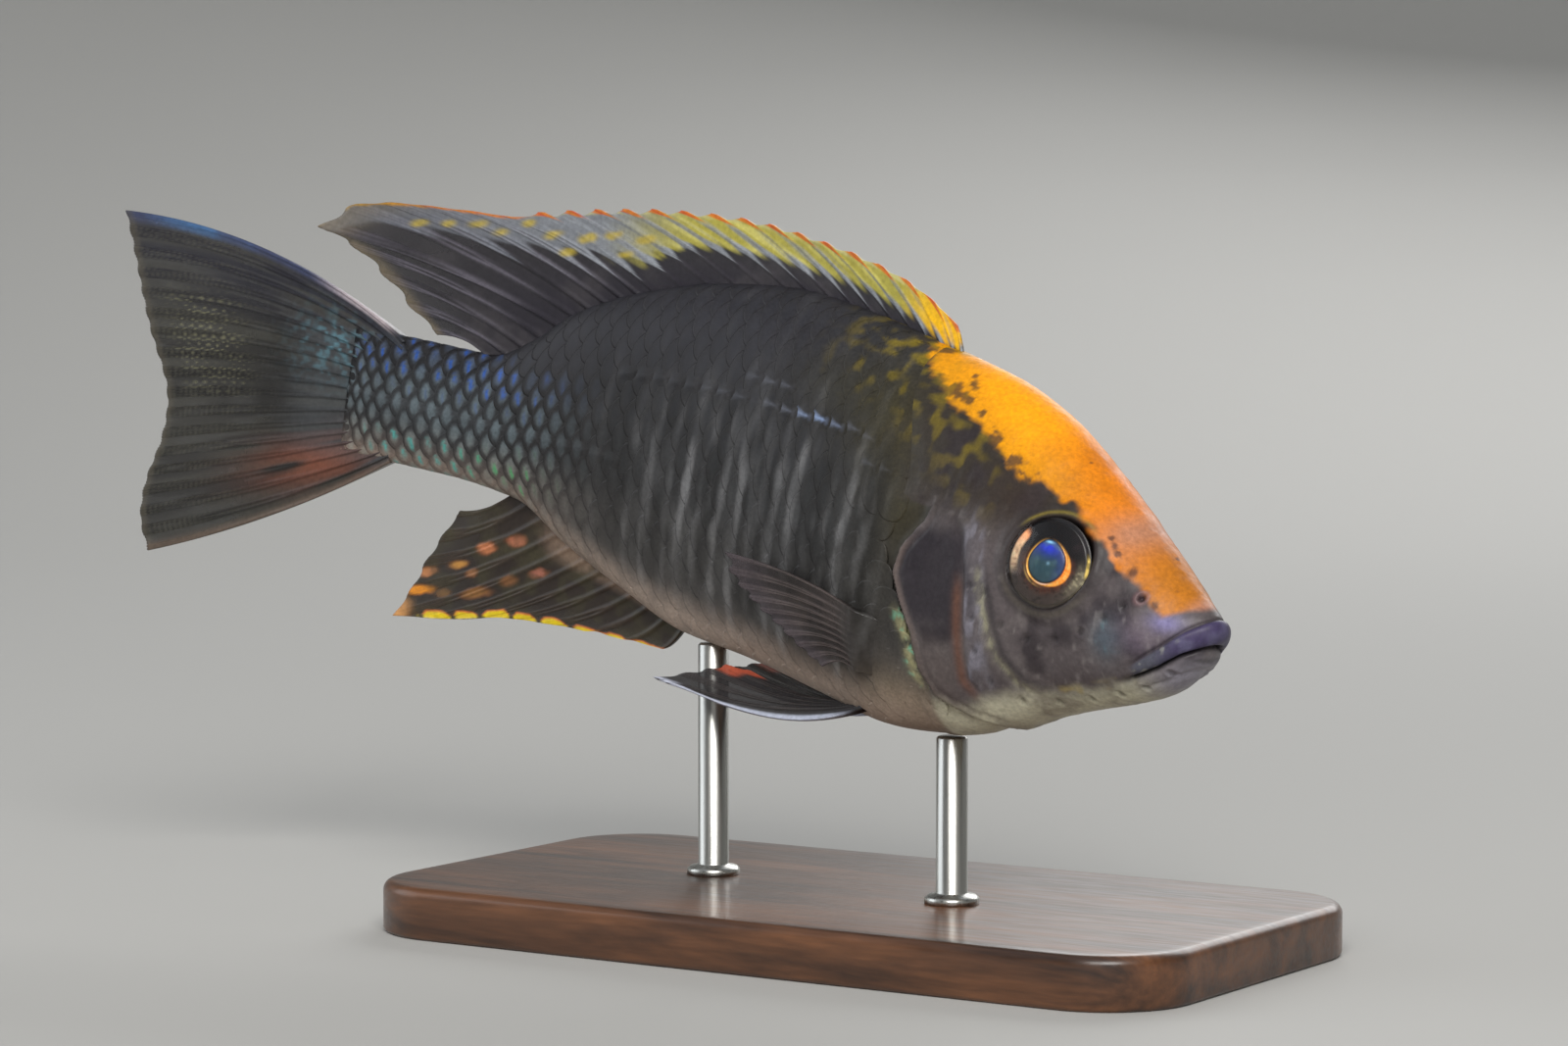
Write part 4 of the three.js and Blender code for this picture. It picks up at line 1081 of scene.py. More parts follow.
def ray_shape(k, t, spiny=0):
    """Ridge of the nearest ray from 0 to 1: one rod that splits in two and then four.

    Where spiny is 1 it is a single spine.
    """
    offset = k - np.round(k)
    split = 0.12 * smooth(t, 0.3, 0.5)
    second = 0.075 * smooth(t, 0.62, 0.82)
    width = lerp(0.15, 0.075, smooth(t, 0.3, 0.55)) * lerp(1, 0.75, smooth(t, 0.62, 0.82))
    ridge = 0
    for one in (-1, 1):
        for two in (-1, 1):
            ridge = np.maximum(ridge, hump(offset, one * split + two * second, width))
    return lerp(ridge, hump(offset, 0, 0.13), spiny)


DORSAL = {
    "spines": 16, "soft": 10, "rear": 4, "first": 36.3, "last_spine": 72.7, "last": 91.2, "sunk": 1.6,
    "lean": 1.45,
    "spine_margin": [
        (38.2, 20.2), (42.9, 22.5), (48, 24), (55, 25), (64, 25.5), (73, 24.9), (81, 23.6), (88.7, 22),
    ],
    "soft_margin": [(92.4, 20.9), (98.5, 20.6), (106, 20), (111.4, 18.8), (115, 16)],
    "rear_margin": [(115, 16), (111.4, 14.9), (107.2, 12.5), (103, 9.5), (99.6, 7.5)],
}
ANAL = {
    "spines": 3, "rays": 12, "rear": 4, "first": 64.6, "last": 86.6, "sunk": 1.6, "bow": -0.8,
    "lower_margin": [(67.6, -18), (74, -18.2), (80.5, -18.5), (87, -19.2), (93.5, -20.8), (100.2, -21.9)],
    "rear_margin": [(100.2, -21.9), (98.6, -18.9), (97.3, -15.8), (95.8, -12.8), (94, -9.6)],
}
CAUDAL = {
    "rays": 18, "root_half": 6.3, "root_at": 102.6, "upper_bow": 2.4, "lower_bow": -1,
    "margin": [
        (136.6, 14), (134.6, 8.6), (132.2, 2.6), (129.6, -3.4), (129.4, -8.4), (130.5, -13.6),
        (130.6, -17.6), (129.4, -20.9),
    ],
}
PECTORAL = {
    "rays": 10, "bow": 0.9, "root_share": 0.16,
    "upper_root": (34.2, -7.4), "lower_root": (36.4, -12.9), "sunk": 1.4, "stand_off": 1, "flare": 1,
    "margin": [(54.5, -4.8), (53.4, -6.9), (50.6, -8.7), (47, -10.4), (43.4, -12.1), (41, -13)],
}
PELVIC = {
    "rays": 6, "sag": 1.1, "inner_sag": 1, "fall": 0.6,
    "outer_root": (38.2, 3.7), "inner_root": (39.8, 1.5), "sunk": 1.3,
    "tips": [
        (56.5, 4.5, -20.5), (65, 4.4, -19.9), (61.5, 4, -18.7), (59.2, 3.5, -17.8), (57.4, 3, -17),
        (54.6, 2.5, -17),
    ],
}


def median_sheet(root, tip, bow, reach, t):
    """Grid in the middle plane. root and tip are (columns, 2), reach and bow (columns,)."""
    q = t[:, None] * reach[None, :]
    s = lerp(root[:, 0], tip[:, 0], q)
    z = lerp(root[:, 1], tip[:, 1], q) + 4 * q * (1 - q) * bow
    return np.stack([s, np.zeros_like(s), z], -1), q


def lappets(k, deep, lift=0.03):
    """How far the membrane reaches between spines: out to each tip, then falling away behind it."""
    behind = k - np.floor(k)
    fallen = within(behind, 0.12, 0.96, 0.97, 1.0)
    return 1 + lift * hump(behind, 0.12, 0.1) - deep * fallen


def dorsal_fin():
    """Spines with lappets between them, then soft rays drawn out to a trailing tip."""
    spines, soft, rear = DORSAL["spines"], DORSAL["soft"], DORSAL["rear"]
    k, behind = fin_columns(spines + soft, 15)
    upper = soft - rear - 1
    spine_tips = spline(DORSAL["spine_margin"])(k / (spines - 1))
    soft_tips = spline(DORSAL["soft_margin"])((k - spines) / upper)
    rear_tips = spline(DORSAL["rear_margin"])((k - spines - upper) / rear)
    last_tip = spline(DORSAL["spine_margin"])(np.array([1.0]))
    first_soft = spline(DORSAL["soft_margin"])(np.array([0.0]))
    between = last_tip + (first_soft - last_tip) * np.clip(k - spines + 1, 0, 1)[:, None]
    tip = np.where((k < spines)[:, None], between, soft_tips)
    tip = np.where((k < spines - 1)[:, None], spine_tips, tip)
    tip = np.where((k > spines + upper)[:, None], rear_tips, tip)
    root_s = np.where(
        k < spines - 1,
        lerp(DORSAL["first"], DORSAL["last_spine"], (k / (spines - 1)) ** DORSAL["lean"]),
        lerp(DORSAL["last_spine"], DORSAL["last"], (k - spines + 1) / soft),
    )
    root = np.stack([root_s, section(root_s)[0] - DORSAL["sunk"]], -1)
    spiny = smooth(k, spines + 0.2, spines - 1.2)
    notched = lappets(k, 0.06, 0.02)
    scalloped = 1 - lerp(0.012, 0.05, smooth(k, 18, 24)) * np.sin(math.pi * behind) ** 2
    reach = lerp(scalloped, notched, spiny)
    bow = lerp(1.0, 0.5, spiny)
    t = np.linspace(0, 1, 62)
    centre, q = median_sheet(root, tip, bow, reach, t)
    wave = 0.2 * np.sin(k * 0.9 + 0.8) * smooth(q, 0.25, 1.0)
    curl = 0.9 * smooth(k, 18, 25) * smooth(q, 0.3, 1.0) ** 2
    centre[..., 1] += wave + curl
    k = np.broadcast_to(k, q.shape)
    ridge = ray_shape(k, q, spiny)
    thick = lerp(0.13, 0.1, q) + ridge * lerp(0.3, 0.1, q) * lerp(1, 0.5, spiny)
    return fin_mesh("fin_dorsal", centre, thick, ridge, *dorsal_colour(centre, k, q, spiny, ridge))


def fin_length(centre):
    """Length along each column of the grid from its root."""
    steps = np.linalg.norm(np.diff(centre, axis=0), axis=-1)
    return np.concatenate([np.zeros((1, centre.shape[1])), np.cumsum(steps, 0)])


DORSAL_SPOTS = [
    (102.9, 18.5, 1.2, 0.4), (96.2, 19.5, 1.4, 0.5), (93.2, 19.2, 1.0, 0.5), (87.2, 20.0, 1.3, 0.5),
    (83.1, 20.4, 1.4, 0.55), (80.3, 21.2, 1.2, 0.5), (76.2, 21.5, 1.3, 0.55), (99.6, 19.0, 0.9, 0.4),
    (90.2, 20.6, 0.9, 0.45), (78.4, 19.6, 1.2, 0.5), (85.2, 18.6, 1.1, 0.45),
]
PALE_BAND = [
    (36, 2.6), (46, 3.2), (60, 3.5), (71, 3.8), (76, 6.4), (84, 5.6), (92, 3.8), (104, 2.8), (116, 2),
]


def dorsal_band(colour, s, k, depth, behind, streaks, long):
    """Pale band under the margin and the yellow over it, laid over the given colour."""
    beside = np.abs(behind - 0.5) * 2  # 1 on a ray and 0 half way between two
    band = line_height(s, PALE_BAND)
    reach = band * (0.7 + 0.42 * beside**2) + 0.4 * long
    pale = mix(srgb(122, 126, 132), srgb(160, 165, 172), smooth(streaks, -0.1, 0.6))
    pale = mix(pale, srgb(96, 98, 108), 0.75 * smooth(k, 14, 20))
    in_band = smooth(depth, reach + 0.25, reach - 0.35) * smooth(k, 24.8, 21)
    colour = mix(colour, pale, 0.9 * in_band * lerp(1, 0.55, smooth(streaks, 0.1, 0.7)))
    yellow = mix(srgb(158, 150, 66), srgb(184, 176, 96), smooth(long, -0.2, 0.6))
    yellow = mix(yellow, srgb(226, 172, 8), smooth(s, 46, 40))
    low = lerp(0.9, 0.66, smooth(beside, 0.2, 0.9)) * band
    in_yellow = smooth(depth, low + 0.3, low - 0.6) * smooth(s, 82, 70)
    pale_line = smooth(np.sin(2 * math.pi * (behind + 0.16)) + 0.6 * streaks, 0.2, 0.9)
    pale_line = pale_line * smooth(depth, 0.4, 1.2) * smooth(s, 42, 48)
    return mix(colour, yellow, in_yellow * (1 - 0.75 * pale_line) * lerp(1, 0.7, smooth(streaks, 0.1, 0.7)))


def dorsal_rim(k, depth, behind, streaks, spiny):
    """How fully the orange rim covers the margin, how long its dabs are, and its colour."""
    width = lerp(lerp(0.14, 0.08, smooth(k, 18, 22)), 0.1 + 0.5 * smooth(behind, 0.45, 0.05), spiny)
    dab = lerp(smooth(k, 22.6, 19.5), smooth(behind, 0.55, 0.3), spiny)
    orange = mix(srgb(196, 112, 34), srgb(190, 82, 28), smooth(streaks, -0.2, 0.5))
    orange = mix(orange, srgb(150, 132, 46), smooth(k, 16.5, 20.5) * 0.8)
    return smooth(depth, width + 0.16, width - 0.1) * dab, dab, orange


def dorsal_colour(centre, k, q, spiny, ridge):
    """Colour and clearness of the dorsal fin: k counts its rays and q runs from root to tip."""
    s, z = side_view(centre)
    spiny = np.broadcast_to(spiny, k.shape)
    behind = k - np.floor(k)
    points = flat(s, z)
    streaks = noise(flat(k * 6.0, q * 3.0), 1.0, 91)
    long = noise(flat(k * 3.0, q * 4.0), 1.0, 95)
    depth = line_height(s, DORSAL["spine_margin"] + DORSAL["soft_margin"]) - z + 0.12 * streaks
    rayed = lerp(0.75, 0.12, spiny) * ridge * smooth(q, 0.1, 0.35) * smooth(streaks, -0.7, 0.4)
    colour = paint(srgb(44, 42, 46), [
        ((34, 31, 40), 0.6 * smooth(q, 0.45, 0.1)),
        ((58, 55, 58), 0.6 * smooth(cloud(points, 3, 3, 92), 0, 0.6)),
        ((98, 94, 104), rayed),
    ])
    colour = dorsal_band(colour, s, k, depth, behind, streaks, long)
    for spot_s, spot_z, length, height in DORSAL_SPOTS:
        tilt = 0.3 * (s - spot_s)
        r = np.hypot((s - spot_s) / length, (z - spot_z + tilt) / height) + 0.3 * noise(points, 0.9, 99)
        colour = mix(colour, srgb(172, 152, 56), 0.8 * smooth(r, 1.2, 0.35))
    on_rim, dab, orange = dorsal_rim(k, depth, behind, streaks, spiny)
    pale_rim = spiny * (1 - dab) * smooth(depth, 0.5, 0.15) * smooth(s, 42, 46)
    colour = mix(colour, srgb(178, 172, 120), 0.8 * pale_rim)
    colour = mix(colour, orange, 0.95 * on_rim)
    trailing = smooth(k, 17.5, 21) * smooth(q, 0.8, 0.98)
    clear = 0.04 + 0.2 * smooth(q, 0.2, 0.9) * (1 - ridge) * lerp(1, 0.4, spiny)
    return mix(colour, srgb(120, 108, 86), 0.6 * trailing * (1 - on_rim)), clear


def anal_fin():
    """Three spines, then soft rays that lengthen to the rear tip."""
    rays, rear, spines = ANAL["rays"], ANAL["rear"], ANAL["spines"]
    k, behind = fin_columns(rays, 16)
    lower = rays - rear - 1
    lower_tips = spline(ANAL["lower_margin"])(k / lower)
    rear_tips = spline(ANAL["rear_margin"])((k - lower) / rear)
    tip = np.where((k <= lower)[:, None], lower_tips, rear_tips)
    root_s = lerp(ANAL["first"], ANAL["last"], k / (rays - 1))
    root = np.stack([root_s, section(root_s)[1] + ANAL["sunk"]], -1)
    spiny = smooth(k, spines - 0.2, spines - 1.2)
    ragged = lerp(0.01, 0.025, smooth(k, 7.2, 9))
    reach = lerp(1 - ragged * np.sin(math.pi * behind) ** 2, lappets(k, 0.12, 0.0), spiny)
    t = np.linspace(0, 1, 56)
    centre, q = median_sheet(root, tip, np.full(len(k), ANAL["bow"]), reach, t)
    centre[..., 1] += (0.15 * np.sin(k * 1.1 + 0.3) + 0.5 * smooth(k, 5, 11)) * smooth(q, 0.3, 1.0)
    k = np.broadcast_to(k, q.shape)
    ridge = ray_shape(k, q, spiny)
    thick = lerp(0.14, 0.1, q) + ridge * lerp(0.3, 0.09, q)
    return fin_mesh("fin_anal", centre, thick, ridge, *anal_colour(centre, k, q, ridge))


EGG_SPOTS = [  # s, z, length, height, colour
    (86.5, -11.2, 1.2, 0.75, (182, 112, 84)), (90.0, -12.6, 1.2, 0.75, (186, 116, 78)),
    (93.1, -15.0, 1.25, 0.5, (182, 130, 60)), (91.3, -15.5, 0.85, 0.45, (140, 98, 66)),
    (96.7, -16.5, 1.2, 0.6, (184, 122, 76)), (86.8, -15.3, 1.2, 0.62, (156, 100, 60)),
    (83.4, -13.8, 1.15, 0.55, (146, 92, 76)), (97.5, -18.6, 2.1, 0.55, (214, 136, 40)),
    (94.5, -18.3, 0.9, 0.5, (136, 96, 54)), (90.6, -17.4, 1.9, 0.62, (132, 92, 50)),
]


def anal_colour(centre, k, q, ridge):
    """Colour and clearness of the anal fin, with its egg spots and gold rim."""
    s, z = side_view(centre)
    points = flat(s, z)
    colour = mix(srgb(42, 35, 31), srgb(54, 49, 36), smooth(cloud(points, 3.0, 2, 101), -0.2, 0.6))
    ragged = 0.22 * noise(points, 0.7, 103)
    colour = paint(colour, [
        ((74, 62, 52), 0.4 * ridge * smooth(q, 0.1, 0.4)),
        ((150, 126, 108), 0.8 * smooth(q, 0.2, 0.06) * smooth(k, 10, 7)),
    ])
    for spot_s, spot_z, length, height, tint in EGG_SPOTS:
        along, up = s - spot_s, z - spot_z + 0.28 * (s - spot_s)
        r = np.hypot(along / length, up / height) + ragged
        colour = mix(colour, srgb(98, 62, 38), 0.7 * smooth(r, 1.25, 0.9))
        colour = mix(colour, srgb(*tint), 0.92 * smooth(r, 1.05, 0.45))
    depth = z - line_height(s, ANAL["lower_margin"])
    on_rim = within(s, 65.5, 67, 96.4, 97.6)
    tall = np.interp(s, [66, 75, 80, 86, 96], [0.22, 0.45, 0.72, 0.85, 0.85])
    wave = np.cos(2 * math.pi * (s + 0.5 * noise(points, 3.0, 106) - 0.5 * depth - 84.1) / 3.6)
    tall = tall * lerp(0.55, 1, smooth(wave, -1, 0.1)) + 0.1 * noise(points, 1.0, 107)
    gap = lerp(1, smooth(wave, -1.0, -0.62), smooth(s, 75, 79))
    blobs = smooth(depth, tall + 0.1, tall - 0.14) * gap * on_rim
    gold = mix(srgb(214, 188, 20), srgb(206, 112, 56), smooth(depth, tall - 0.3, tall - 0.05))
    colour = mix(colour, srgb(58, 54, 38), 0.5 * smooth(noise(points, 1.2, 105), 0, 0.6))
    gold = mix(gold, srgb(206, 206, 170), 0.5 * smooth(depth, 0.12, 0.0))
    colour = mix(colour, gold, 0.95 * blobs)
    tip = smooth(s, 97.4, 99.6) * smooth(z, -19.2, -20.4)
    clear = 0.05 + 0.16 * smooth(q, 0.3, 0.9) * (1 - ridge)
    colour = mix(colour, srgb(206, 150, 92), 0.85 * tip)
    return colour, clear


def caudal_fin():
    """Fan of branching rays with a finely ragged edge."""
    rays = CAUDAL["rays"]
    k, behind = fin_columns(rays, 14)
    share = k / (rays - 1)
    tip = spline(CAUDAL["margin"])(share)
    root_z = lerp(CAUDAL["root_half"], -CAUDAL["root_half"], share)
    root = np.stack([np.full(len(k), CAUDAL["root_at"]), root_z], -1)
    bow = lerp(CAUDAL["upper_bow"], CAUDAL["lower_bow"], share)
    reach = 1 - 0.005 * np.sin(math.pi * behind) ** 2 + 0.0025 * np.sin(14 * math.pi * behind + k)
    t = np.linspace(0, 1, 100)
    centre, q = median_sheet(root, tip, bow, reach, t)
    centre[..., 1] += 0.22 * np.sin(k * 0.75 + 0.5) * smooth(q, 0.3, 1.0)
    k = np.broadcast_to(k, q.shape)
    ridge = ray_shape(k, q)
    thick = lerp(0.16, 0.09, q) + ridge * lerp(0.3, 0.1, q) + 0.7 * np.maximum(0, 1 - q / 0.2) ** 2
    return fin_mesh("fin_tail", centre, thick, ridge, *caudal_colour(centre, k, q, t, ridge))


def caudal_colour(centre, k, q, t, ridge):
    """Colour and clearness of the tail fin."""
    s, z = side_view(centre)
    points = flat(s, z)
    rim = np.broadcast_to(t[:, None], k.shape)
    long = flat(k * 1.6, q * 3.2)
    fine = noise(flat(k * 5, q * 9), 1.0, 112)
    dark_rays = ridge * smooth(noise(flat(k * 1.1, q * 1.2), 1.0, 113), -0.3, 0.4)
    steps = np.sin(2 * math.pi * fin_length(centre) / 0.62)
    dots = np.sin(2 * math.pi * fin_length(centre) / 1.1 + math.pi * np.round(k * 2))
    dots = dots * np.cos(4 * math.pi * k)
    pearly = within(q, 0.58, 0.72, 0.86, 0.97) * within(k, 3.0, 4.6, 8.0, 9.8)
    red = np.exp(-(((s - 111) / 7) ** 2) - ((z + 6.6 + 0.32 * (s - 108)) / 2.6) ** 2)
    sparkle = smooth(noise(points, 0.45, 117), 0.1, 0.55) + 0.4 * smooth(noise(points, 0.7, 118), 0.1, 0.5)
    base = smooth(s, 118, 112) * smooth(np.abs(z + 0.4), 8, 5.5)
    upper = smooth(k, 0.7, 0.25)
    along = noise(flat(q * 12, 0 * q), 1.0, 119)
    clear = 0.04 + 0.2 * smooth(q, 0.25, 0.9) * (1 - ridge)
    colour = paint(srgb(37, 36, 35), [
        ((38, 38, 47), 0.8 * smooth(k, 6, 2)),
        ((64, 63, 58), 0.6 * (1 - ridge) * smooth(noise(long, 1.0, 111), -0.3, 0.6)),
        ((62, 62, 62), 0.5 * smooth(fine, 0.1, 0.7)),
        ((27, 26, 28), 0.75 * dark_rays * hump(k, 9.5, 5)),
        ((104, 102, 88), 0.3 * smooth(steps, 0.0, 0.9) * ridge * smooth(q, 0.45, 0.7)),
        ((132, 130, 100), 0.5 * pearly * smooth(dots + 0.6 * fine, 0.3, 1.0)),
        ((120, 70, 52), 0.8 * red * smooth(noise(long, 0.7, 115), -0.9, 0.2)),
        ((74, 78, 82), 0.45 * base),
        ((90, 132, 146), 0.6 * hump(s, 111.0, 4) * hump(z, 4.4, 3.0) * np.minimum(sparkle, 1)),
        ((64, 72, 104), 0.7 * upper * smooth(q, 0.1, 0.2)),
        ((176, 164, 168), 0.85 * upper * within(q, 0.02, 0.1, 0.2, 0.38)),
        ((62, 126, 200), 0.85 * upper * hump(q, 0.46, 0.08) * smooth(along, -0.5, 0.5)),
        ((70, 120, 170), 0.5 * upper * hump(q, 0.74, 0.16) * smooth(along, -0.1, 0.5)),
        ((88, 82, 70), 0.5 * smooth(rim, 0.965, 0.995)),
        ((108, 92, 80), 0.6 * smooth(k, 16.4, 16.9)),
    ])
    return colour, clear


def pectoral_fin(side):
    """Fan that lies back along the flank and stands a little off it."""
    rays = PECTORAL["rays"]
    k, behind = fin_columns(rays, 12)
    q = np.linspace(0, 1, 60)[:, None] * (1 - 0.04 * np.sin(math.pi * behind) ** 2)
    share = k / (rays - 1)
    tip = spline(PECTORAL["margin"])(share)
    s, z = [
        lerp(lerp(PECTORAL["upper_root"][axis], PECTORAL["lower_root"][axis], share), tip[:, axis], q)
        for axis in (0, 1)
    ]
    z = z + PECTORAL["bow"] * np.sin(math.pi * q)
    rise = smooth(q, 0, PECTORAL["root_share"])
    off = lerp(-PECTORAL["sunk"], PECTORAL["stand_off"], rise) + PECTORAL["flare"] * q**2
    off = off + 0.05 * np.sin(2.2 * k) * smooth(q, 0.3, 1)
    centre = np.stack([s, side * (side_at(s, z) + off), z], -1)
    ridge = ray_shape(np.broadcast_to(k, q.shape), q)
    thick = lerp(0.12, 0.06, q) + ridge * lerp(0.07, 0.04, q) * smooth(q, 0.08, 0.3)
    thick = thick + 0.5 * smooth(q, 0.3, 0.0)
    points = flat(s, z)
    colour = mix(srgb(46, 41, 40), srgb(60, 53, 51), smooth(cloud(points, 2.0, 2, 121), -0.2, 0.5))
    colour = paint(colour, [
        ((92, 82, 80), 0.55 * ridge * smooth(q, 0.1, 0.3)),
        ((80, 72, 80), 0.5 * smooth(q, 0.6, 1.0)),
    ])
    colour = mix(colour, body_colour(centre), smooth(q, 0.3, 0.08))
    clear = 0.06 + 0.4 * smooth(q, 0.15, 0.5) * (1 - ridge)
    return fin_mesh("fin_pectoral_" + SIDES[side], centre, thick, ridge, colour, clear)


def underside_at(s, y):
    """Height of the body's underside at s and y."""
    _, bottom, middle, half = section(s)
    return middle - (middle - bottom) * (1 - (y / half) ** ROUND_BELOW) ** (1 / ROUND_BELOW)


def pelvic_fin(side):
    """One spine and soft rays under the belly, the first ray longest."""
    rays = PELVIC["rays"]
    k, behind = fin_columns(rays, 16)
    t = np.linspace(0, 1, 60)
    q = t[:, None] * (1 - 0.02 * np.sin(math.pi * behind) ** 2)
    share = k / (rays - 1)
    root_s, root_y = [lerp(PELVIC["outer_root"][axis], PELVIC["inner_root"][axis], share) for axis in (0, 1)]
    root_z = underside_at(root_s, root_y) + PELVIC["sunk"]
    tips = np.array(PELVIC["tips"])
    tip = np.stack([np.interp(k, np.arange(rays), tips[:, axis]) for axis in range(3)], -1)
    sag = lerp(PELVIC["sag"], PELVIC["sag"] * PELVIC["inner_sag"], share) * np.sin(math.pi * q)
    centre = np.stack([
        lerp(root_s, tip[:, 0], q),
        side * lerp(root_y, tip[:, 1], q),
        lerp(root_z, tip[:, 2], q ** PELVIC["fall"]) - sag,
    ], -1)
    k = np.broadcast_to(k, q.shape)
    ridge = ray_shape(k, q, smooth(k, 0.8, 0.3))
    thick = lerp(0.16, 0.08, q) + ridge * lerp(0.28, 0.09, q)
    colour = mix(srgb(40, 37, 38), srgb(72, 66, 64), 0.4 * ridge * smooth(q, 0.1, 0.4))
    outer_rim = smooth(k, 1.3, 1.05) * smooth(t, 0.88, 0.94)[:, None]
    clear = 0.06 + 0.2 * smooth(q, 0.2, 0.7) * (1 - ridge)
    colour = paint(colour, [
        ((186, 192, 210), 0.95 * smooth(k, 0.55, 0.2) * smooth(q, 0.1, 0.25)),
        ((186, 190, 206), 0.95 * outer_rim),
        ((176, 80, 54), 0.85 * smooth(k, 3.1, 3.6) * smooth(q, 0.84, 0.9)),
    ])
    return fin_mesh("fin_pelvic_" + SIDES[side], centre, thick, ridge, colour, clear)


# Eyes


def eye_basis(side):
    """Centre of the eye's front on the skin, and its outward, rearward and upward directions."""
    s, z = EYE["s"], EYE["z"]
    step = 0.2
    widening = (side_at(s + step, z) - side_at(s - step, z)) / (2 * step)
    leaning = (side_at(s, z + step) - side_at(s, z - step)) / (2 * step)
    out = np.array([-widening, side, -leaning])
    out /= np.linalg.norm(out)
    centre = np.array([s, side * side_at(s, z), z])
    back = np.array([1.0, 0, 0]) - out * out[0]
    back /= np.linalg.norm(back)
    up = np.cross(out, back) * -side
    return centre, out, back, up


EYE_SPOKES = 128


def eye_disc(name, side, radii, heights, colours, floats=None):
    """Surface of rings about the eye's axis, of these radii and heights out of the skin."""
    centre, out, back, up = eye_basis(side)
    turn = np.linspace(0, 2 * math.pi, EYE_SPOKES, endpoint=False)
    ring = np.cos(turn)[:, None] * back + np.sin(turn)[:, None] * up
    points = centre + radii[:, None, None] * ring[None] + heights[:, :, None] * out
    faces = triangles(grid_faces(len(radii), EYE_SPOKES, closed=True))
    if side > 0:
        faces = faces[:, ::-1]
    return new_mesh(name, points.reshape(-1, 3), faces, colours.reshape(-1, 3), floats)


def make_eye(side):
    """Iris and lens as one surface, and the clear cornea over them."""
    turn = np.linspace(0, 2 * math.pi, EYE_SPOKES, endpoint=False)[None, :]
    angle = np.degrees(np.arctan2(np.sin(turn), -np.cos(turn)))
    radii = np.concatenate([[0.001], np.linspace(0.1, EYE["radius"] + 0.05, 84)])
    r = np.broadcast_to(radii[:, None], (len(radii), EYE_SPOKES))
    pupil = 1.92 + 0.19 * around(angle, 101, 30) - 0.06 * (around(angle, 48, 26) + around(angle, 152, 26))
    in_pupil = smooth(r, pupil + 0.03, pupil - 0.04)
    lens = 0.24 * np.sqrt(np.clip(1 - (r / pupil) ** 2, 0, 1))
    edge = EYE["radius"]
    heights = 0.3 - 0.024 * r**2 + lens - 0.08 * hump(r, pupil + 0.08, 0.1)
    heights = heights - 0.25 * smooth(r, edge - 0.4, edge)
    colour, gleam = iris_colour(r, np.broadcast_to(angle, r.shape), pupil)
    x, y = -r * np.cos(turn), r * np.sin(turn)
    colour = mix(colour, lens_colour(x, y, r, pupil), in_pupil)
    flash = {"Flash": gleam * (1 - in_pupil)}
    ball = eye_disc("eye_ball_" + SIDES[side], side, radii, heights, colour, flash)
    radii = np.concatenate([[0.001], np.linspace(0.2, edge + 0.08, 34)])
    dome = 0.72 * (1 - (radii / edge) ** 2)
    dome = np.repeat(dome[:, None], EYE_SPOKES, 1)
    cornea = eye_disc("cornea_" + SIDES[side], side, radii, dome, np.ones((*dome.shape, 3)))
    return ball, cornea


def around(angle, centre, width):
    """Soft share of the iris about a direction in degrees: 0 is ahead and 90 is up."""
    return np.exp(-((((angle - centre + 180) % 360 - 180) / width) ** 2))


def rear_patch(angle, share, fine, streaky):
    """How fully the peach patch behind the pupil covers the iris, and its colour."""
    inner = 0.7 + 0.14 * smooth(angle, 150, 126)
    rear = within(angle, 135, 149, 184, 214) * smooth(share, inner, inner + 0.09) * smooth(share, 0.985, 0.95)
    peach = paint(mix(srgb(226, 190, 150), srgb(255, 168, 112), around(angle, 140, 20)), [
        ((150, 104, 78), 0.75 * smooth(fine, -0.2, 0.5) * smooth(angle, 148, 172)),
        ((236, 214, 172), 0.6 * smooth(streaky, 0.1, 0.6) * smooth(angle, 150, 165)),
    ])
    return rear, peach


def gold_ring(angle, beside, fine):
    """How fully the gold ring beside the pupil covers the iris, and its colour."""
    width = 0.15 + 0.5 * around(angle, -18, 46) + 0.06 * around(angle, 215, 30)
    gold = smooth(beside, width + 0.09, width - 0.09) * (1 - 0.95 * around(angle, 96, 46))
    hot = mix(srgb(214, 148, 40), srgb(255, 140, 38), around(angle, -15, 60))
    core = hump(beside, 0.5 * width, 0.45 * width) * smooth(fine, -0.9, 0.4)
    return gold, mix(hot, srgb(255, 204, 110), 0.8 * core)


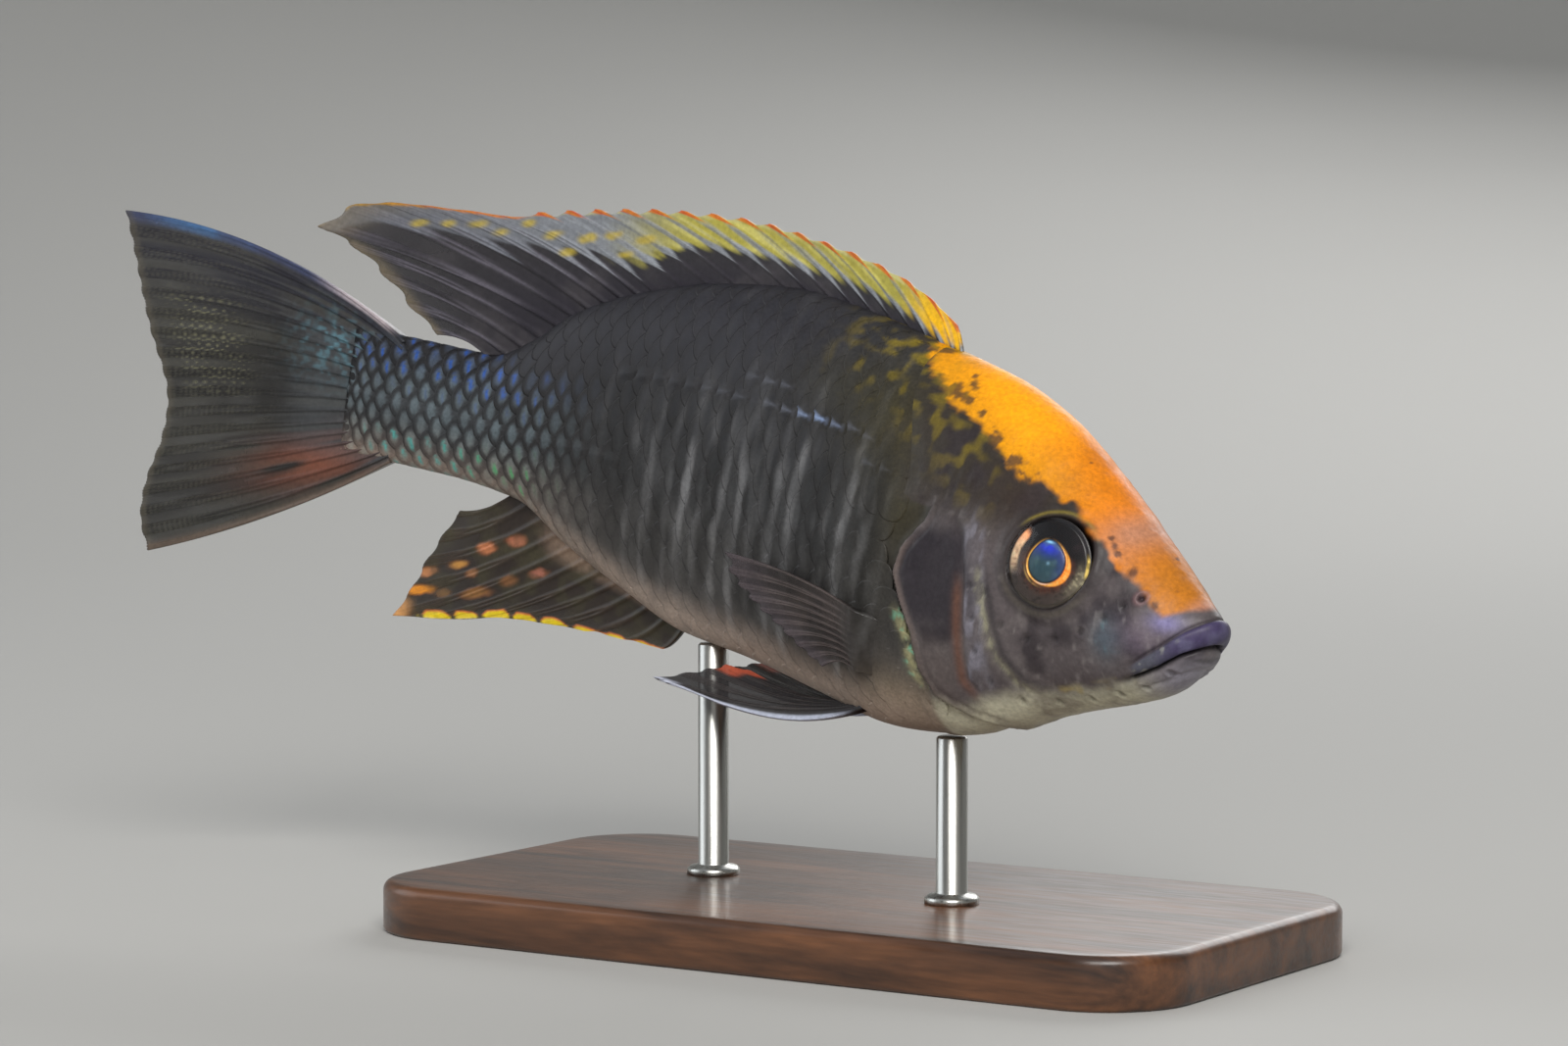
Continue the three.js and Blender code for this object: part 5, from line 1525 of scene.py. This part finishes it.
def iris_colour(r, angle, pupil):
    """Colour of the iris, with painted reflections by the pupil, a painted highlight on its lower rim and
    painted shade at its edge, and how metallic it is.
    """
    turned = np.radians(angle)
    ahead, up = np.cos(turned), np.sin(turned)
    streaky = noise(np.stack([ahead * 12, up * 12, r * 1.6], -1), 1.0, 131)
    fine = noise(np.stack([ahead * 40, up * 40, r * 3], -1), 1.0, 134)
    specks = noise(flat(ahead * r, up * r), 0.3, 132)
    share = r / EYE["radius"]
    beside = r - pupil
    height = up * share
    colour = mix(srgb(62, 52, 48), srgb(18, 17, 20), smooth(height, -0.25, 0.3))
    brown = smooth(beside, 1.3, 0.3) * smooth(height, 0.35, -0.1)
    rear, peach = rear_patch(angle % 360, share, fine, streaky)
    colour = paint(colour, [
        ((40, 30, 34), 0.6 * around(angle, 40, 30) * smooth(streaky, -0.4, 0.6)),
        ((98, 50, 28), 0.9 * brown * smooth(streaky, -0.8, 0.3)),
        ((58, 26, 14), 0.7 * hump(beside, 0.62, 0.22) * around(angle, -80, 50)),
    ])
    colour = mix(colour, peach, np.clip(1.1 * rear, 0, 1) * lerp(0.75, 1, smooth(streaky, -0.8, 0)))
    front_pale = smooth(share, 0.7, 0.82) * around(angle, -16, 20)
    dusty = mix(srgb(112, 104, 86), srgb(168, 160, 130), smooth(fine, -0.1, 0.6))
    colour = mix(colour, dusty, 0.85 * front_pale)
    front = within(share, 0.92, 0.95, 0.975, 0.99)
    front = front * within(angle, -8, 0, 17, 27)
    gold, hot = gold_ring(angle, beside, fine)
    colour = mix(mix(colour, srgb(255, 222, 120), front), hot, gold)
    # Painted reflections: a white glint at the lower edge of the pupil, and a fainter yellow one low behind
    # it.
    glint = hump(beside, 0.07, 0.06) * around(angle, -88, 20)
    second = hump(beside, 0.4, 0.08) * around(angle, 232, 26)
    colour = paint(colour, [
        ((236, 216, 214), 0.9 * glint),
        ((206, 170, 96), 0.7 * second),
        ((22, 14, 12), 0.6 * smooth(specks, 0.35, 0.6) * (1 - gold) * (1 - rear)),
        # painted shade where the iris meets the socket, and a painted highlight along its lower rim
        ((26, 22, 22), 0.85 * smooth(share, 0.965, 1.0)),
        ((84, 80, 68), 0.5 * hump(share, 0.95, 0.03) * around(angle, -90, 50)),
    ])
    return colour, np.clip(gold + rear + front, 0, 1)


def lens_colour(x, y, r, pupil):
    """Cloudy blue of the pupil, brightest at its top, with a pale painted reflection there and another near
    its middle.
    """
    places = flat(x, y)
    colour = mix(srgb(46, 72, 82), srgb(38, 56, 108), smooth(y, -0.3, 1.1))
    return paint(colour, [
        ((36, 48, 116), 0.5 * smooth(x, 0.6, 1.6)),
        ((48, 62, 206), 0.9 * hump(y, 1.35, 0.5) * hump(x, -0.1, 0.9)),
        ((70, 96, 98), 0.5 * smooth(cloud(places, 0.9, 2, 137), 0.0, 0.6)),
        # painted reflections: a pale glint at the top of the pupil and a smaller one near its middle
        ((150, 214, 255), 0.9 * hump(y, 1.86, 0.13) * hump(x, -0.25, 0.4)),
        ((130, 170, 196), 0.6 * hump(np.hypot(x - 0.3, y + 0.05), 0, 0.15)),
        ((12, 14, 20), 0.7 * smooth(r, pupil - 0.25, pupil)),
    ])


# Materials. Where noise has a scale, it is in bumps per metre.

GRAIN = {"in_Detail": 3.0, "in_Roughness": 0.55}
RAY_JOINT = 0.42  # length of one joint of a soft ray
WOOD_GRAIN = (14.0, 120.0, 120.0)  # runs along the base


def material(name):
    """New material with no nodes, and its tree."""
    made = bpy.data.materials.new(name)
    made.use_nodes = True
    made.node_tree.nodes.clear()
    return made, made.node_tree


def node(tree, kind, **values):
    """New node. A value named in_Some_Input goes on that socket."""
    made = tree.nodes.new(kind)
    for key, value in values.items():
        if key.startswith("in_"):
            made.inputs[key[3:].replace("_", " ")].default_value = value
        else:
            setattr(made, key, value)
    return made


def wire(tree, start, end):
    tree.links.new(start, end)


def principled(tree, **values):
    shader = node(tree, "ShaderNodeBsdfPrincipled", **values)
    output = node(tree, "ShaderNodeOutputMaterial")
    wire(tree, shader.outputs[0], output.inputs["Surface"])
    return shader


def attribute(tree, name, kind="Fac"):
    return node(tree, "ShaderNodeAttribute", attribute_name=name).outputs[kind]


def noise_texture(tree, scale, stretch=None, **values):
    """Noise fixed to the piece, where stretch gives its scale along each axis."""
    place = node(tree, "ShaderNodeTexCoord").outputs["Object"]
    if stretch:
        mapping = node(tree, "ShaderNodeMapping", in_Scale=stretch)
        wire(tree, place, mapping.inputs["Vector"])
        place = mapping.outputs[0]
    made = node(tree, "ShaderNodeTexNoise", in_Scale=scale, **values)
    wire(tree, place, made.inputs["Vector"])
    return made.outputs[0]


def map_range(tree, source, to_low, to_high, low=0.3, high=0.7):
    """A source such as noise, which keeps mostly between low and high, brought to a new range."""
    made = node(tree, "ShaderNodeMapRange")
    for index, value in ((1, low), (2, high), (3, to_low), (4, to_high)):
        made.inputs[index].default_value = value
    wire(tree, source, made.inputs[0])
    return made.outputs[0]


def math_node(tree, operation, first, second):
    made = node(tree, "ShaderNodeMath", operation=operation)
    for index, value in enumerate((first, second)):
        if isinstance(value, (int, float)):
            made.inputs[index].default_value = value
        else:
            wire(tree, value, made.inputs[index])
    return made.outputs[0]


def shaded(tree, colour, source, amount):
    """Colour made lighter and darker by a 0 to 1 source."""
    factor = map_range(tree, source, 1 - amount, 1 + amount)
    made = node(tree, "ShaderNodeVectorMath", operation="SCALE")
    wire(tree, colour, made.inputs[0])
    wire(tree, factor, made.inputs["Scale"])
    return made.outputs[0]


def marked(tree, shader, grain, amount):
    """Gives the shader the colours of the mesh, made uneven by fine grain."""
    wire(tree, shaded(tree, attribute(tree, "Marks", "Color"), grain, amount), shader.inputs["Base Color"])


def bump(tree, height, strength, distance, onto=None):
    made = node(tree, "ShaderNodeBump", in_Strength=strength, in_Distance=distance)
    wire(tree, height, made.inputs["Height"])
    if onto is not None:
        wire(tree, onto, made.inputs["Normal"])
    return made.outputs[0]


def skin_material():
    made, tree = material("skin")
    shader = principled(tree, in_Coat_Weight=0.08, in_Coat_Roughness=0.25, in_IOR=1.33)
    grain = noise_texture(tree, 2600, **GRAIN)
    fine = noise_texture(tree, 900, in_Detail=4.0, in_Roughness=0.6)
    marked(tree, shader, grain, 0.16)
    wire(tree, map_range(tree, fine, 0.38, 0.58), shader.inputs["Roughness"])
    relief = bump(tree, fine, 0.35, 0.12 * MM)
    wire(tree, bump(tree, grain, 0.3, 0.04 * MM, relief), shader.inputs["Normal"])
    return made


def scale_material():
    made, tree = material("scales")
    shader = principled(tree, in_Coat_Weight=0.05, in_Coat_Roughness=0.3, in_IOR=1.29)
    grain = noise_texture(tree, 3200, **GRAIN)
    marked(tree, shader, grain, 0.2)
    flash = attribute(tree, "Flash")
    wire(tree, math_node(tree, "MULTIPLY", flash, 0.6), shader.inputs["Metallic"])
    smoother = math_node(tree, "MULTIPLY", flash, 0.12)
    rough = math_node(tree, "SUBTRACT", map_range(tree, grain, 0.4, 0.56), smoother)
    wire(tree, rough, shader.inputs["Roughness"])
    wire(tree, bump(tree, grain, 0.3, 0.05 * MM), shader.inputs["Normal"])
    return made


def fin_material():
    made, tree = material("fins")
    shader = principled(tree, in_Coat_Weight=0.1, in_Coat_Roughness=0.3, in_IOR=1.33)
    grain = noise_texture(tree, 2200, **GRAIN)
    marked(tree, shader, grain, 0.16)
    ray = attribute(tree, "Ray")
    wire(tree, math_node(tree, "SUBTRACT", 1.0, attribute(tree, "Clear")), shader.inputs["Alpha"])
    wire(tree, map_range(tree, ray, 0.42, 0.32, 0, 1), shader.inputs["Roughness"])
    turns = math_node(tree, "MULTIPLY", attribute(tree, "Along"), 2 * math.pi / RAY_JOINT)
    height = math_node(tree, "MULTIPLY", math_node(tree, "SINE", turns, 0), ray)
    relief = bump(tree, height, 0.25, 0.03 * MM)
    wire(tree, bump(tree, grain, 0.2, 0.04 * MM, relief), shader.inputs["Normal"])
    return made


def eye_material():
    made, tree = material("eye")
    shader = principled(tree, in_Roughness=0.35)
    wire(tree, math_node(tree, "MULTIPLY", attribute(tree, "Flash"), 0.2), shader.inputs["Metallic"])
    marked(tree, shader, noise_texture(tree, 2400, **GRAIN), 0.15)
    return made


def cornea_material():
    made, tree = material("cornea")
    clear = node(tree, "ShaderNodeBsdfTransparent")
    gloss = node(tree, "ShaderNodeBsdfGlossy", in_Roughness=0.03, in_Color=(0.75, 0.75, 0.75, 1))
    fresnel = node(tree, "ShaderNodeFresnel", in_IOR=1.25)
    both = node(tree, "ShaderNodeMixShader")
    output = node(tree, "ShaderNodeOutputMaterial")
    for index, source in enumerate((fresnel, clear, gloss)):
        wire(tree, source.outputs[0], both.inputs[index])
    wire(tree, both.outputs[0], output.inputs["Surface"])
    return made


def wood_material():
    made, tree = material("stand_wood")
    shader = principled(tree, in_Coat_Weight=0.3, in_Coat_Roughness=0.18)
    grain = noise_texture(tree, 1.6, WOOD_GRAIN, in_Detail=6.0, in_Roughness=0.6, in_Distortion=0.8)
    fibre = noise_texture(tree, 14.0, WOOD_GRAIN, in_Detail=3.0)
    ramp = node(tree, "ShaderNodeValToRGB")
    for stop, place, tint in zip(ramp.color_ramp.elements, (0.34, 0.68), ((44, 27, 18), (104, 66, 40))):
        stop.position = place
        stop.color = (*srgb(*tint), 1)
    wire(tree, grain, ramp.inputs[0])
    wire(tree, shaded(tree, ramp.outputs[0], fibre, 0.2), shader.inputs["Base Color"])
    wire(tree, map_range(tree, fibre, 0.32, 0.46), shader.inputs["Roughness"])
    wire(tree, bump(tree, fibre, 0.3, 0.06 * MM), shader.inputs["Normal"])
    return made


def rod_material():
    made, tree = material("stand_rods")
    shader = principled(tree, in_Metallic=1.0)
    shader.inputs["Base Color"].default_value = (*srgb(190, 190, 186), 1)
    brushed = noise_texture(tree, 1.0, (2400.0, 2400.0, 60.0), in_Detail=2.0)
    wire(tree, map_range(tree, brushed, 0.22, 0.38), shader.inputs["Roughness"])
    return made


def stage_material():
    made, tree = material("stage")
    shader = principled(tree, in_Roughness=0.85)
    shader.inputs["Base Color"].default_value = (*srgb(176, 175, 172), 1)
    return made


# Stand, in millimetres

BASE = {"length": 88, "width": 46, "thickness": 5, "corner": 9, "bevel": 1.0}
ROD_RADIUS = 1.5
COLLAR_RADIUS = 2.6
ROD_ROOTS = {"front": 31, "rear": 61.5}


def rounded_outline(length, width, corner, steps=14):
    """Rectangle with round corners, as points in order."""
    found = []
    for sx, sy, start in ((1, -1, -90), (1, 1, 0), (-1, 1, 90), (-1, -1, 180)):
        x, y = sx * (length / 2 - corner), sy * (width / 2 - corner)
        for angle in np.radians(start + np.linspace(0, 90, steps)):
            found.append((x + corner * math.cos(angle), y + corner * math.sin(angle)))
    return np.array(found)


def turned(line, sides):
    """Points and faces of a line of (radius, height) turned round an upright axis."""
    turn = np.linspace(0, 2 * math.pi, sides, endpoint=False)
    rings = [np.column_stack([r * np.cos(turn), r * np.sin(turn), np.full(sides, z)]) for r, z in line]
    return np.concatenate(rings), grid_faces(len(line), sides, closed=True)


def make_base():
    """Low plinth with a rounded upper edge and a small foot groove."""
    bevel, tall = BASE["bevel"], BASE["thickness"]
    steps = np.linspace(0, math.pi / 2, 8)
    levels = [(0.5, 0.0), (0.15, 0.12), (0.0, 0.45)]
    levels += [(bevel * (1 - math.cos(a)), tall - bevel + bevel * math.sin(a)) for a in steps]
    levels += [(bevel + 1.2, tall)]
    rings = []
    for inset, z in levels:
        length, width = BASE["length"] - 2 * inset, BASE["width"] - 2 * inset
        outline = rounded_outline(length, width, BASE["corner"] - inset)
        rings.append(np.column_stack([outline, np.full(len(outline), z)]))
    rings = np.array(rings)
    levels, sides = rings.shape[:2]
    count = levels * sides
    points = np.concatenate([rings.reshape(-1, 3), [[0, 0, 0]], [[0, 0, tall]]])
    under = fan(count, 0, sides)
    over = fan(count + 1, count - sides, sides)[:, (0, 2, 1, 1)]
    faces = triangles(np.concatenate([grid_faces(levels, sides, closed=True), under, over]))
    return mesh_object("stand_plinth", points * MM, faces, flip=True)


def make_rod(name, root_s):
    """Round rod from the plinth up to the belly, with a low collar at its foot."""
    foot = posed(np.array([root_s, 0, float(section(root_s)[1])]))
    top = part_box("stand_rod_" + name)[1].z / MM
    low, collar, end = BASE["thickness"], COLLAR_RADIUS, top - 0.05
    line = [(0.0, low), (collar, low), (collar, low + 0.5), (collar - 0.3, low + 0.8)]
    line += [(ROD_RADIUS + 0.15, low + 0.9), (ROD_RADIUS, low + 1.1)]
    line += [(ROD_RADIUS, top - 0.25), (ROD_RADIUS - 0.2, end), (0.0, end)]
    points, faces = turned(line, 48)
    points = points + [foot[0] / MM, foot[1] / MM, 0]
    return mesh_object("stand_rod_shaft_" + name, points * MM, triangles(faces), flip=True)


# Stage, light and camera. The stage and the lamps are placed in metres.

CAMERA = {
    "azimuth": math.radians(33.0), "elevation": math.radians(4.0), "distance": 437.5, "lens": 105.0,
    "right": -6.8, "up": -0.7,
}
LIGHT_AIM = 0.04
STAGE = {"floor": 0.5, "curve": 1.0, "tall": 1.9}


def make_camera():
    azimuth, elevation = CAMERA["azimuth"], CAMERA["elevation"]
    level = np.array([math.sin(azimuth), -math.cos(azimuth), 0])
    back = level * math.cos(elevation) + [0, 0, math.sin(elevation)]
    right = np.array([math.cos(azimuth), math.sin(azimuth), 0])
    up = np.cross(back, right)
    place = back * CAMERA["distance"] + right * CAMERA["right"] + up * CAMERA["up"]
    place = place + [0, 0, AXIS_HEIGHT]
    data = bpy.data.cameras.new("camera")
    data.lens = CAMERA["lens"]
    data.sensor_width = 36.0
    data.clip_start = 0.01
    camera = bpy.data.objects.new("camera", data)
    bpy.context.scene.collection.objects.link(camera)
    camera.location = place * MM
    camera.rotation_euler = (math.pi / 2 - elevation, 0, azimuth)
    bpy.context.scene.camera = camera


def make_stage(finish):
    """Round pale floor that curves up into a wall on every side."""
    turn = np.linspace(-math.pi / 2, 0, 24)
    curve, wide = STAGE["curve"], STAGE["floor"]
    line = [(0.002, 0.0), (0.1, 0.0), (0.4, 0.0)]
    line += [(wide + curve * math.cos(a), curve + curve * math.sin(a)) for a in turn]
    line += [(wide + curve, STAGE["tall"])]
    floor = mesh_object("floor", *turned(line, 96))
    floor.data.materials.append(finish)


def area_light(name, place, size, power, colour=(1, 1, 1), shows=True):
    """Lamp aimed at the fish. One that doesn't show leaves no bright square in the eyes."""
    data = bpy.data.lights.new(name, "AREA")
    data.shape = "RECTANGLE"
    data.size, data.size_y = size
    data.energy = power
    data.color = colour
    lamp = bpy.data.objects.new(name, data)
    lamp.visible_camera = False
    lamp.visible_glossy = shows
    bpy.context.scene.collection.objects.link(lamp)
    lamp.location = place
    direction = np.array([0, 0, LIGHT_AIM]) - np.array(place)
    lamp.rotation_euler = Vector(direction).to_track_quat("-Z", "Y").to_euler()


def make_lights():
    world = bpy.data.worlds.new("world")
    bpy.context.scene.world = world
    world.use_nodes = True
    sky = world.node_tree.nodes["Background"]
    sky.inputs[0].default_value = (0.9, 0.95, 1.0, 1)
    sky.inputs[1].default_value = 0.4
    area_light("key", (0.4, -0.58, 0.6), (0.5, 0.4), 6.5, (1.0, 0.98, 0.95))
    area_light("front", (0.32, -0.85, 0.34), (0.6, 0.3), 3.2, shows=False)
    area_light("fill", (-0.7, -0.3, 0.35), (0.6, 0.5), 1.6, (0.9, 0.95, 1.0))
    area_light("far_side", (-0.1, 0.75, 0.45), (0.7, 0.5), 3.4)


# Assembly

BODY_NODES = ("head", "lower_jaw", "trunk", "tail_stalk", "gill_cover_left", "gill_cover_right")


def settle(obj, finish, slot, *nodes):
    """Gives a piece its material and ties it to the frame."""
    obj.data.materials.append(finish)
    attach(obj, "root")
    if nodes:
        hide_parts(*nodes)


def build():
    skin_finish, scale_finish, fin_finish = skin_material(), scale_material(), fin_material()
    eye_finish, cornea_finish = eye_material(), cornea_material()
    settle(make_skin(), skin_finish, "body_skin", *BODY_NODES)
    for side, name in SIDES.items():
        for place, low, high in (("front", 0, SCALES_SPLIT), ("rear", SCALES_SPLIT, 2 * SL)):
            coat = make_scales(f"scales_{place}_{name}", side, low, high, SCALE_SEEDS[side])
            settle(coat, scale_finish, "body_skin")
        settle(pectoral_fin(side), fin_finish, "fins", "pectoral_fin_" + name)
        settle(pelvic_fin(side), fin_finish, "fins", "pelvic_fin_" + name)
        ball, cornea = make_eye(side)
        settle(ball, eye_finish, "eyes", "eye_" + name)
        settle(cornea, cornea_finish, "eyes")
    settle(dorsal_fin(), fin_finish, "fins", "dorsal_fin")
    settle(anal_fin(), fin_finish, "fins", "anal_fin")
    settle(caudal_fin(), fin_finish, "fins", "tail_fin")
    settle(make_base(), wood_material(), "stand_wood", "stand_base")
    rod_finish = rod_material()
    for name, root_s in ROD_ROOTS.items():
        settle(make_rod(name, root_s), rod_finish, "stand_rods", "stand_rod_" + name)
    make_stage(stage_material())
    make_lights()
    make_camera()
    bpy.context.scene.view_settings.view_transform = "Standard"


build()
